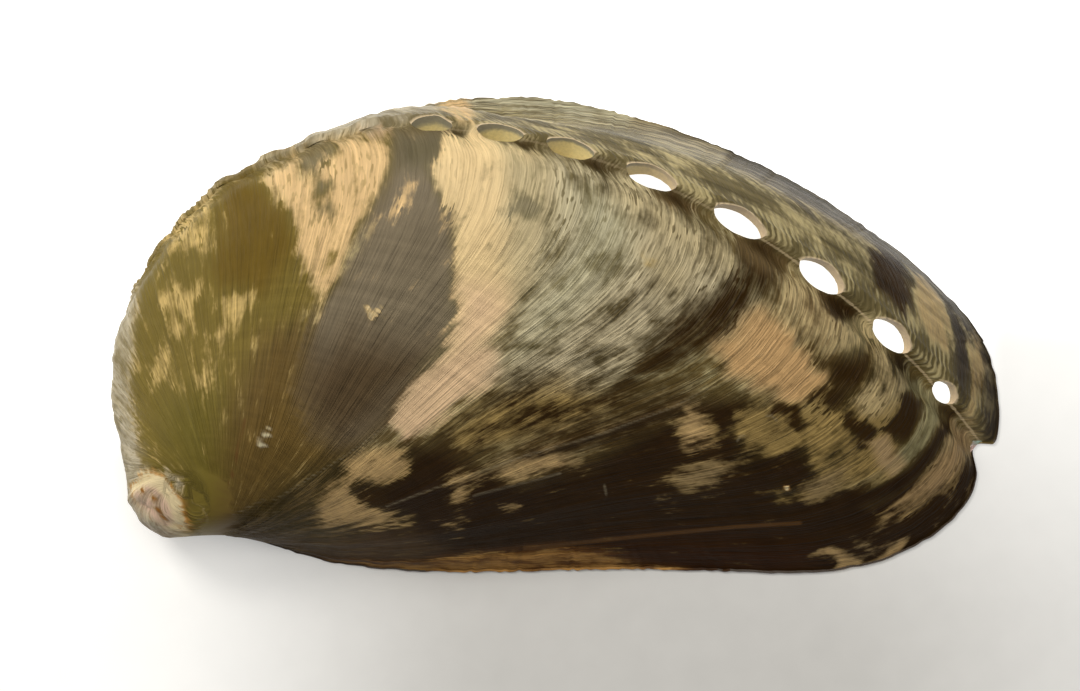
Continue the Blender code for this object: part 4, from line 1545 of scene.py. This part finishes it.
@dataclass(frozen=True)
class Relief:
    """What stands up from the outside or is worn into it."""

    coil: Coil
    holes: tuple[Hole, ...]
    healed_turns: tuple[float, ...] = (82.6, 92.1, 101.6, 112.8, 124.2, 135.4, 146.4)
    healed_size: Triple = (4.6, 2.9, 0.75)
    healed_fall: float = 1.4
    crest: Roll = Roll(0.16, 0.0, 0.45)
    trough: Roll = Roll(-0.22, -2.4, 1.1)
    cord: Roll = Roll(0.18, 2.3, 0.35)
    cord_turns: Pair = (-75.0, -40.0)
    band_range: Pair = (0.2, 1.0)
    band_calm: float = 0.6
    fold: float = 0.24
    fold_reach: float = 6.0
    fold_slant: float = 0.25
    fold_shift: float = 0.18
    fold_start: float = 2.0
    ledge: float = 0.11
    ledge_turns: Pair = (-20.0, 380.0)
    ledge_gap: float = 0.7
    ledge_every: int = 6
    ledge_slant: float = 0.05
    fine_ledge: float = 0.45
    fine_slant: float = 0.02
    ledges_seed: int = 11
    lip: float = 0.22
    lip_place: float = 0.1
    lip_width: float = 0.75
    stroke_width: float = 0.35
    foot_range: Pair = (0.1, 1.6)
    strokes: tuple[Stroke, ...] = (
        Stroke(((-27.5, -16.0), (-20.1, -11.4), (-15.4, -8.0)), 0.16),
        Stroke(((-15.8, -16.5), (-9.3, -14.1), (-1.5, -11.3), (6.2, -9.1), (13.7, -6.3),
                (18.0, -4.0)), 0.16),
        Stroke(((-6.8, -15.4), (2.1, -13.1)), 0.12),
        Stroke(((-34.5, -19.0), (-28.2, -15.7)), 0.12),
        # The short strokes from here on are scuffs; where they are painted pale, that partly stands for
        # their painted glints.
        Stroke(((22.0, -1.2), (22.8, -0.9)), 0.12),
        Stroke(((23.2, -7.2), (23.8, -7.2), (24.3, -7.7)), 0.16),
        Stroke(((20.2, -9.8), (20.5, -9.3), (21.0, -9.2)), 0.16),
        Stroke(((6.6, -14.3), (6.8, -15.3)), 0.10),
        Stroke(((-27.4, -17.3), (-26.6, -16.8)), 0.10),
    )
    brown_strokes: tuple[Stroke, ...] = (
        Stroke(((-30.3, -7.6), (-31.6, -13.5), (-33.1, -16.6), (-35.1, -18.5))),
        Stroke(((-1.6, -20.8), (11.7, -19.4), (20.0, -18.6), (26.7, -18.2))),
    )
    sutures: tuple[Stroke, ...] = (
        Stroke(((-41.6, -14.2), (-39.3, -13.0), (-37.7, -14.0), (-36.5, -15.8),
                (-36.2, -18.6)), -0.35),
        Stroke(((-41.4, -16.2), (-39.8, -17.0), (-38.2, -18.2), (-36.6, -19.0)), -0.30),
    )
    nubs: tuple[Nub, ...] = (
        Nub((-17.0, 3.3), 0.7, 0.5), Nub((10.8, 8.6), 0.6, 0.4), Nub((25.6, 1.1), 0.8, 0.5),
        Nub((-28.4, -9.8), 0.6, 0.2), Nub((-25.7, -5.1), 0.5, 0.2), Nub((25.5, -14.6), 0.5, 0.3),
    )

    def heights(self, places: Array, turn: Array, across: Array) -> Array:
        """How far the outside stands out at each place.

        Args:
            places: Rows of three coordinates.
            turn: When each place was laid down.
            across: How far along the edge it is from the row.

        Returns:
            Heights in millimetres.
        """
        band = smooth(across, *self.band_range)
        high = self.ledges(turn, across) * (1.0 - self.band_calm * band)
        high += self.crest.heights(across)
        high += self.trough.heights(across)
        stops = np.array([hole.turn for hole in self.holes] + list(self.healed_turns))
        beat = np.interp(turn + self.fold_slant * across, stops, np.arange(len(stops)))
        high += (self.fold * np.cos(math.tau * (beat + self.fold_shift))
                 * smooth(-across, 0.0, self.fold_start)
                 * np.exp(across.clip(max=0.0) / self.fold_reach))
        high += self.cord.heights(across) * smooth(-turn, *self.cord_turns)
        self.raise_holes(high, places)
        self.raise_marks(high, as_seen(places))
        return high * smooth(places[:, 2], *self.foot_range)

    def raise_holes(self, high: Array, places: Array) -> None:
        """Add the open holes' swollen rims and the healed holes' knobs.

        Args:
            high: The heights to add to.
            places: Rows of three coordinates.
        """
        for hole in self.holes:
            local = Stand.at(self.coil, hole.turn).local(places)
            out = (hole.reading(local) - 1.0) * hole.width / 2
            near = np.abs(local[:, 2]) < STAND_DEPTH
            high += self.lip * np.exp(-((out - self.lip_place) / self.lip_width) ** 2) * near
        for healed in self.healed_turns:
            local = Stand.at(self.coil, healed).local(places)
            scale = math.exp(-self.coil.rate * math.radians(healed - self.healed_turns[0]))
            size = np.array(self.healed_size) * scale
            off = (local[:, 0] / size[0] * 2) ** 2 + (local[:, 1] / size[1] * 2) ** 2
            near = np.abs(local[:, 2]) < STAND_DEPTH
            high += size[2] * np.exp(-off * self.healed_fall) * near

    def raise_marks(self, high: Array, seen: Array) -> None:
        """Add the scratches, the sutures and the nubs.

        Args:
            high: The heights to add to.
            seen: Rows of two coordinates, as seen from above.
        """
        for stroke in self.strokes + self.sutures:
            off = stroke_distance(seen, stroke) / self.stroke_width
            high += stroke.rise * np.exp(-off ** 2)
        for nub in self.nubs:
            off = np.linalg.norm(seen - np.array(nub.place), axis=1) / nub.radius
            high += nub.rise * np.exp(-off ** 2)

    def ledges(self, turn: Array, across: Array) -> Array:
        """Draw the uneven steps that the growing edge left.

        Args:
            turn: When each place was laid down.
            across: How far along the edge it is from the row.

        Returns:
            Heights in millimetres.
        """
        rng = np.random.default_rng(self.ledges_seed)
        turns = np.arange(*self.ledge_turns, self.ledge_gap)
        few = turns[::self.ledge_every]
        coarse = np.interp(turn + self.ledge_slant * across, few, rng.uniform(-1, 1, len(few)))
        fine = np.interp(turn + self.fine_slant * across, turns, rng.uniform(-1, 1, len(turns)))
        return self.ledge * (coarse + self.fine_ledge * fine)


@dataclass(frozen=True)
class Paint:
    """Lays the patches' colours over the outside, with edges feathered along the growth."""

    patches: tuple[Patch, ...] = PATCHES
    feather: float = 0.55
    feather_pace: Pair = (1.1, 0.09)
    fine_feather: float = 0.2
    fine_pace: Pair = (3.1, 0.3)
    feather_seed: int = 5
    feather_apart: float = 40.0
    spread: float = 2.0
    cap_place: Pair = (-39.3, -16.2)
    cap_reach: float = 4.5
    cap_calm: float = 0.85
    shoulder_place: Pair = (0.55, -0.42)
    shoulder_size: Pair = (0.36, 0.34)

    def shaded_shoulders(self, places: Array, coil: Coil, holes: Sequence[Hole]) -> Array:
        """How much each place lies in the dark patch on the rounded shoulder that follows a hole, which is
        partly painted shade of that shoulder and partly its brown colour.

        Args:
            places: Rows of three coordinates.
            coil: The shell's coil.
            holes: The open holes.

        Returns:
            Shares from 0 to 1.
        """
        most = np.zeros(len(places))
        for hole in holes:
            local = Stand.at(coil, hole.turn).local(places)
            along, side = ((local[:, :2] / (hole.length, hole.width) - self.shoulder_place)
                           / self.shoulder_size).T
            near = np.abs(local[:, 2]) < STAND_DEPTH
            share = np.exp(-(along ** 2 + side ** 2)) * near
            most = np.maximum(most, share)
        return most

    def wobble(self, grown: Array, apart: float, seed: int) -> Array:
        """Make the uneven shift that feathers the patches' edges one way.

        Args:
            grown: Rows of the turn and the way across.
            apart: How far off the pattern is read.
            seed: Picks the pattern.

        Returns:
            Shifts from about -1 to 1, one for each row.
        """
        coarse = rough_field(grown * self.feather_pace + apart, seed)
        fine = rough_field(grown * self.fine_pace + apart, seed + 1)
        return coarse + self.fine_feather * fine

    def lay(self, seen: Array, turn: Array, across: Array) -> tuple[Array, Array, Array]:
        """Work out both colours and how much of the light one there is.

        Args:
            seen: Rows of two coordinates, as seen from above.
            turn: When each place was laid down.
            across: How far along the edge it is from the row.

        Returns:
            The light colour's share, the dark colours and the light colours.
        """
        grown = np.stack([turn, across], axis=1)
        shift = np.stack([self.wobble(grown, 0.0, self.feather_seed),
                          self.wobble(grown, self.feather_apart, self.feather_seed + 2)], axis=1)
        away = np.linalg.norm(seen - np.array(self.cap_place), axis=1, keepdims=True)
        calm = 1.0 - self.cap_calm * np.exp(-(away / self.cap_reach) ** 2)
        moved = seen + self.feather * calm * shift
        cover = np.zeros(len(seen))
        dark = np.zeros((len(seen), 3))
        light = np.zeros((len(seen), 3))
        for patch in self.patches:
            corners = patch.corners
            near = np.all((moved > corners.min(0) - patch.soft * self.spread)
                          & (moved < corners.max(0) + patch.soft * self.spread), axis=1)
            depth = inside_distance(moved[near], corners)
            edge = patch.soft * self.spread / 2
            weight = smooth(depth, -edge, edge)
            cover[near] += weight * (patch.cover - cover[near])
            dark[near] += weight[:, None] * (np.array(patch.dark.linear) - dark[near])
            light[near] += weight[:, None] * (np.array(patch.light.linear) - light[near])
        return cover, dark, light


@dataclass
class Shell:
    """The whole shell: one wall with its relief, its row of holes and its three finishes."""

    coil: Coil = field(default_factory=Coil)
    holes: tuple[Hole, ...] = (
        Hole(6.6, 3.4, 1.8), Hole(14.5, 5.3, 2.4), Hole(23.8, 5.6, 2.5), Hole(34.0, 5.9, 2.45),
        Hole(44.8, 5.4, 2.2), Hole(54.8, 4.9, 1.9), Hole(63.8, 4.7, 1.75), Hole(73.2, 4.2, 1.45),
    )
    rim_rings: int = 4
    rim_passes: int = 8
    # How strongly the shoulders after the holes are darkened: partly painted shade, partly brown colour.
    shoulder_shade_amount: float = 0.8
    seam_jump: float = 12.0
    seam_passes: int = 3
    seam_spread: float = 1.3
    seam_clear: Pair = (4.5, 7.0)
    crease_passes: int = 10
    no_rim: float = 9.0
    ridge_turns: Pair = (20.0, 44.0)
    ridge_fade: float = 0.75
    depth_range: Pair = (1.0, 14.0)
    sharp_angle: float = 42.0

    def build(self) -> bpy.types.Object:
        """Make the shell's mesh, cut its holes and colour it.

        Returns:
            The dressed shell.
        """
        surface = self.coil.surface()
        net = Net(self.coil)
        relief = Relief(self.coil, self.holes)
        base = net.outer(surface)
        turn, across, part = self.coil.growth(surface, base.reshape(-1, 3))
        seam = self.seam(turn.reshape(base.shape[:2]))
        base = self.soften(base, seam)
        high = relief.heights(base.reshape(-1, 3), turn, across).reshape(base.shape[:2])
        outer = base + net.normals(base) * (high * (1.0 - seam))[..., None]
        outer[net.rim()] = base[net.rim()]
        inner = net.inner(base, *(way.reshape(base.shape[:2]) for way in (turn, across)))
        grown = np.stack([turn, across, part, seam.ravel()], axis=1)
        grown = grown.reshape(*base.shape[:2], 4)
        shell = self.wall(net, outer, inner)
        self.pierce(shell)
        self.colour(shell, Grid(outer), grown, relief)
        return shell

    def soften(self, base: Array, seam: Array) -> Array:
        """Round the crease along the seam, so that the net's steps don't show in it.

        Args:
            base: The net's points.
            seam: Where the seam is, as shares from 0 to 1.

        Returns:
            The moved points.
        """
        base = base.copy()
        for _ in range(self.crease_passes):
            base[1:-1, 1:-1] += seam[1:-1, 1:-1, None] * (neighbours(base) - base[1:-1, 1:-1])
        return base

    def seam(self, turn: Array) -> Array:
        """Find where the last whorl meets the older ones.

        Args:
            turn: When each point of the net was laid down.

        Returns:
            Shares from 0 to 1 over the net.
        """
        jump = np.zeros_like(turn)
        for axis in (0, 1):
            step = np.abs(np.diff(turn, axis=axis)) > self.seam_jump
            for side in (0, 1):
                pad = [(0, 0), (0, 0)]
                pad[axis] = (side, 1 - side)
                jump = np.maximum(jump, np.pad(step, pad))
        for _ in range(self.seam_passes):
            around = neighbours(np.pad(jump, 1, mode="edge"))
            jump = np.maximum(jump, around * self.seam_spread)
        return jump.clip(0.0, 1.0)

    def wall(self, net: Net, outer: Array, inner: Array) -> bpy.types.Object:
        """Close the wall between the two skins, with a rounded rim.

        Args:
            net: The net that the skins are made from.
            outer: The outside's points.
            inner: The inside's points, of which every second one is used.

        Returns:
            The shell without its holes.
        """
        outer = outer.copy()
        outer[net.rim(), 2] = net.rim_lift
        coarse = self.inside(net, inner)
        around = self.border(*outer.shape[:2])
        around_in = self.border(*coarse.shape[:2]) + outer.shape[0] * outer.shape[1]
        points = [outer.reshape(-1, 3), coarse.reshape(-1, 3)]
        both = np.vstack(points)
        stop = np.repeat(both[around_in], 2, axis=0)
        stop[1::2] = (stop[::2] + np.roll(stop[::2], -1, axis=0)) / 2
        loops = [around]
        for k in range(1, self.rim_rings + 1):
            part = k / (self.rim_rings + 1)
            ring = both[around] * (1 - part) + stop * part
            ring[:, 2] = net.rim_lift * (1.0 - math.sin(math.pi * part))
            points.append(ring)
            loops.append(np.arange(len(ring)) + len(both) + (k - 1) * len(ring))
        faces = [tuple(reversed(face)) for face in self.quads(*outer.shape[:2], 0)]
        skins = [Skin.OUTSIDE] * len(faces)
        faces += self.quads(*coarse.shape[:2], outer.shape[0] * outer.shape[1])
        skins += [Skin.NACRE] * (len(faces) - len(skins))
        faces += self.strips(loops)
        skins += [Skin.WALL] * len(around)
        faces += self.stitches(loops[-1], around_in)
        skins += [Skin.NACRE] * (len(faces) - len(skins))
        shell = mesh_object("abalone_shell", np.vstack(points), faces)
        for finish in (OutsideFinish(), NacreFinish(), WallFinish()):
            shell.data.materials.append(finish.make())
        shell.data.polygons.foreach_set("material_index", np.array(skins, np.int32))
        return shell

    def inside(self, net: Net, inner: Array) -> Array:
        """Take every second point of the inside and even its border along itself.

        Args:
            net: The net that the skins are made from.
            inner: The inside's points.

        Returns:
            The coarser inside.
        """
        coarse = inner[::2, ::2].copy()
        for edge in (coarse[0], coarse[-1], coarse[:, 0], coarse[:, -1]):
            edge[:, 2] = net.rim_lift
        loop = self.border(*coarse.shape[:2])
        flat = coarse.reshape(-1, 3)
        for _ in range(self.rim_passes):
            flat[loop] = (np.roll(flat[loop], 1, axis=0) + np.roll(flat[loop], -1, axis=0)
                          + 2.0 * flat[loop]) / 4
        return coarse

    def strips(self, loops: Sequence[Array]) -> Faces:
        """Join each loop of the rim to the next one.

        Args:
            loops: The numbers of each loop's points, all loops as long.

        Returns:
            The quads' corners.
        """
        faces = []
        for first, second in zip(loops[:-1], loops[1:]):
            for a, b, c, d in zip(first, np.roll(first, -1), np.roll(second, -1), second):
                faces.append((int(b), int(a), int(d), int(c)))
        return faces

    def stitches(self, last: Array, around_in: Array) -> Faces:
        """Join the rim's last loop to the inside's border, which has half as many points.

        Args:
            last: The numbers of the loop's points.
            around_in: The numbers of the border's points.

        Returns:
            The triangles' corners.
        """
        faces = []
        for k, inner_a in enumerate(around_in):
            a, b, c = (int(last[(2 * k + step) % len(last)]) for step in range(3))
            inner_b = int(around_in[(k + 1) % len(around_in)])
            faces += [(b, a, int(inner_a)), (b, int(inner_a), inner_b), (c, b, inner_b)]
        return faces

    def border(self, rows: int, columns: int) -> Array:
        """Number a grid's border points in order, counter-clockwise from above.

        Args:
            rows: How many rows the grid has.
            columns: How many columns it has.

        Returns:
            The numbers.
        """
        loop = [i * columns for i in range(rows - 1)]
        loop += [(rows - 1) * columns + j for j in range(columns - 1)]
        loop += [i * columns + columns - 1 for i in range(rows - 1, 0, -1)]
        return np.array(loop + [j for j in range(columns - 1, 0, -1)])

    def quads(self, rows: int, columns: int, start: int) -> Faces:
        """Join an open grid's points into quads.

        Args:
            rows: How many rows the grid has.
            columns: How many columns it has.
            start: The number of its first point.

        Returns:
            The quads' corners.
        """
        i, j = np.meshgrid(np.arange(rows - 1), np.arange(columns - 1), indexing="ij")
        at = start + i * columns + j
        quads = np.stack([at, at + 1, at + columns + 1, at + columns], axis=-1)
        return [tuple(quad) for quad in quads.reshape(-1, 4).tolist()]

    def pierce(self, shell: bpy.types.Object) -> None:
        """Cut the row of holes through the wall.

        Args:
            shell: The shell without its holes.
        """
        points: list[Array] = []
        faces: Faces = []
        for hole in self.holes:
            ring, plug = hole.cutter(Stand.at(self.coil, hole.turn))
            start = sum(len(part) for part in points)
            points.append(ring)
            faces += [tuple(k + start for k in face) for face in plug]
        tool = mesh_object("hole_plugs", np.vstack(points), faces)
        tool.data.materials.append(shell.data.materials[Skin.WALL])
        change = shell.modifiers.new("holes", "BOOLEAN")
        change.operation = "DIFFERENCE"
        change.solver = "MANIFOLD"
        change.object = tool
        bpy.context.view_layer.update()
        cut = bpy.data.meshes.new_from_object(
            shell.evaluated_get(bpy.context.evaluated_depsgraph_get()))
        shell.modifiers.clear()
        shell.data = cut
        bpy.data.objects.remove(tool, do_unlink=True)

    def colour(self, shell: bpy.types.Object, skin: Grid, grown: Array, relief: Relief) -> None:
        """Give the mesh the values that its materials read.

        Args:
            shell: The pierced shell.
            skin: The outside as a grid.
            grown: The turn, the way across, its part of the edge and the seam over the grid.
            relief: What stands up from the outside.
        """
        mesh = shell.data
        places = np.zeros(len(mesh.vertices) * 3)
        mesh.vertices.foreach_get("co", places)
        places = places.reshape(-1, 3) / MM - HOME
        rows, columns = skin.locate(places)
        turn, across, part, seam = read_grid(grown, rows, columns).T
        below = np.linalg.norm(places - read_grid(skin.points, rows, columns), axis=1)
        seen = as_seen(places)
        paint = Paint()
        cover, dark, light = paint.lay(seen, turn, across)
        from_cap = np.linalg.norm(seen - np.array(paint.cap_place), axis=1)
        seam = seam * smooth(from_cap, *self.seam_clear)
        # Partly painted shade: the shoulder after each hole is darkened towards deep brown and loses its
        # light colour, standing for its shade as well as its brown.
        shoulder_shade_amount = paint.shaded_shoulders(places, self.coil, self.holes) * self.shoulder_shade_amount
        cover *= 1.0 - shoulder_shade_amount
        dark += shoulder_shade_amount[:, None] * (np.array(Tint.DEEP_BROWN.linear) - dark)
        values = {
            "age": self.coil.age(turn),
            "across": across,
            "part": part,
            "cover": cover,
            "rim": self.rim_distance(places),
            "ridge": 1.0 - smooth(turn, *self.ridge_turns) * self.ridge_fade,
            "pale": np.min([stroke_distance(seen, s) for s in relief.strokes], axis=0),
            "brown": np.min([stroke_distance(seen, s) for s in relief.brown_strokes], axis=0),
            "depth": smooth(places[:, 2], *self.depth_range),
            "below": below,
            "seam": seam,
        }
        for name, value in values.items():
            layer = mesh.attributes.new(name, "FLOAT", "POINT")
            layer.data.foreach_set("value", value.astype(np.float32))
        for name, value in (("dark", dark), ("light", light)):
            layer = mesh.attributes.new(name, "FLOAT_COLOR", "POINT")
            full = np.column_stack([value, np.ones(len(value))])
            layer.data.foreach_set("color", full.astype(np.float32).ravel())
        mesh.shade_smooth()
        mesh.set_sharp_from_angle(angle=math.radians(self.sharp_angle))

    def rim_distance(self, places: Array) -> Array:
        """Tell how far places are from the holes' edges on the outer band's side.

        Args:
            places: Rows of three coordinates.

        Returns:
            Distances in millimetres, a large one where no such edge is near.
        """
        rim = np.full(len(places), self.no_rim)
        for hole in self.holes:
            local = Stand.at(self.coil, hole.turn).local(places)
            out = np.abs(hole.reading(local) - 1.0) * hole.width / 2
            side = (np.abs(local[:, 2]) < STAND_DEPTH) & (local[:, 1] > 0.0)
            rim = np.minimum(rim, np.where(side, out, self.no_rim))
        return rim


def mesh_object(name: str, places: Array, faces: Iterable[tuple[int, ...]]) -> bpy.types.Object:
    """Make an object from places in millimetres, moved home.

    Args:
        name: The object's name.
        places: Rows of three coordinates from the point under the camera.
        faces: The faces' corners.

    Returns:
        The object, linked to the scene.
    """
    mesh = bpy.data.meshes.new(name)
    mesh.from_pydata(((places + HOME) * MM).tolist(), [], list(faces))
    mesh.update()
    item = bpy.data.objects.new(name, mesh)
    bpy.context.scene.collection.objects.link(item)
    return item


@dataclass(frozen=True)
class Studio:
    """The white floor, the soft lights and the camera straight above."""

    floor_radii: tuple[float, ...] = (80.0, 300.0, 1500.0)
    floor_sides: int = 64
    sky: float = 0.07
    sky_colour: tuple[float, float, float, float] = (1.0, 1.0, 1.0, 1.0)
    top_place: Triple = (-60.0, 120.0, 700.0)
    top_size: float = 420.0
    top_power: float = 2.6
    key_place: Triple = (-420.0, 420.0, 560.0)
    key_size: float = 260.0
    key_power: float = 3.4
    nearest: float = 0.01
    warmth: Triple = (1.0, 0.95, 0.86)

    def build(self) -> None:
        """Make the floor, the lights, the sky and the camera."""
        self.floor()
        self.light("top_light", self.top_place, self.top_size, self.top_power)
        self.light("key_light", self.key_place, self.key_size, self.key_power)
        world = bpy.data.worlds.new("studio")
        world.use_nodes = True
        background = world.node_tree.nodes["Background"]
        background.inputs["Color"].default_value = self.sky_colour
        background.inputs["Strength"].default_value = self.sky
        bpy.context.scene.world = world
        bpy.context.scene.view_settings.view_transform = "Standard"
        self.camera()

    def floor(self) -> None:
        """Lay the floor, a round sheet of rings that the object stands on."""
        points = [(0.0, 0.0, 0.0)]
        turns = np.linspace(0.0, math.tau, self.floor_sides, endpoint=False)
        for radius in self.floor_radii:
            points += [(radius * math.cos(t), radius * math.sin(t), 0.0) for t in turns]
        n = self.floor_sides
        faces = [(0, 1 + k, 1 + (k + 1) % n) for k in range(n)]
        for ring in range(len(self.floor_radii) - 1):
            for k in range(n):
                a, b = 1 + ring * n + k, 1 + ring * n + (k + 1) % n
                faces.append((a, a + n, b + n, b))
        floor = mesh_object("floor", np.array(points), faces)
        floor.data.materials.append(FloorFinish().make())

    def light(self, name: str, place: Triple, size: float,
              power: float) -> None:
        """Hang a square soft light that faces the shell.

        Args:
            name: The light's name.
            place: Where it hangs, in millimetres.
            size: The length of its side, in millimetres.
            power: Its power in watts.
        """
        lamp = bpy.data.lights.new(name, "AREA")
        lamp.size = size * MM
        lamp.energy = power
        lamp.color = self.warmth
        item = bpy.data.objects.new(name, lamp)
        item.location = Vector(place) * MM
        item.rotation_euler = (-item.location).to_track_quat("-Z", "Y").to_euler()
        bpy.context.scene.collection.objects.link(item)

    def camera(self) -> None:
        """Hang the camera where the photograph was taken from."""
        lens = bpy.data.cameras.new("camera")
        lens.sensor_fit = "HORIZONTAL"
        lens.lens = lens.sensor_width * EYE_HEIGHT / (PHOTO_WIDTH * PHOTO_MM)
        lens.clip_start = self.nearest
        item = bpy.data.objects.new("camera", lens)
        item.location = Vector(HOME) * MM + Vector((0.0, 0.0, EYE_HEIGHT * MM))
        bpy.context.scene.collection.objects.link(item)
        bpy.context.scene.camera = item


def main() -> None:
    """Build the shell and the studio."""
    logging.basicConfig(level=logging.INFO, format="%(name)s: %(message)s")
    shell = Shell().build()
    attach(shell, "root")
    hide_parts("shell")
    log.info("%s: %d faces over %s", shell.name, len(shell.data.polygons),
             ", ".join(frame["nodes"]))
    Studio().build()
    log.info("floor, lights and camera in place")


if __name__ == "__main__":
    main()
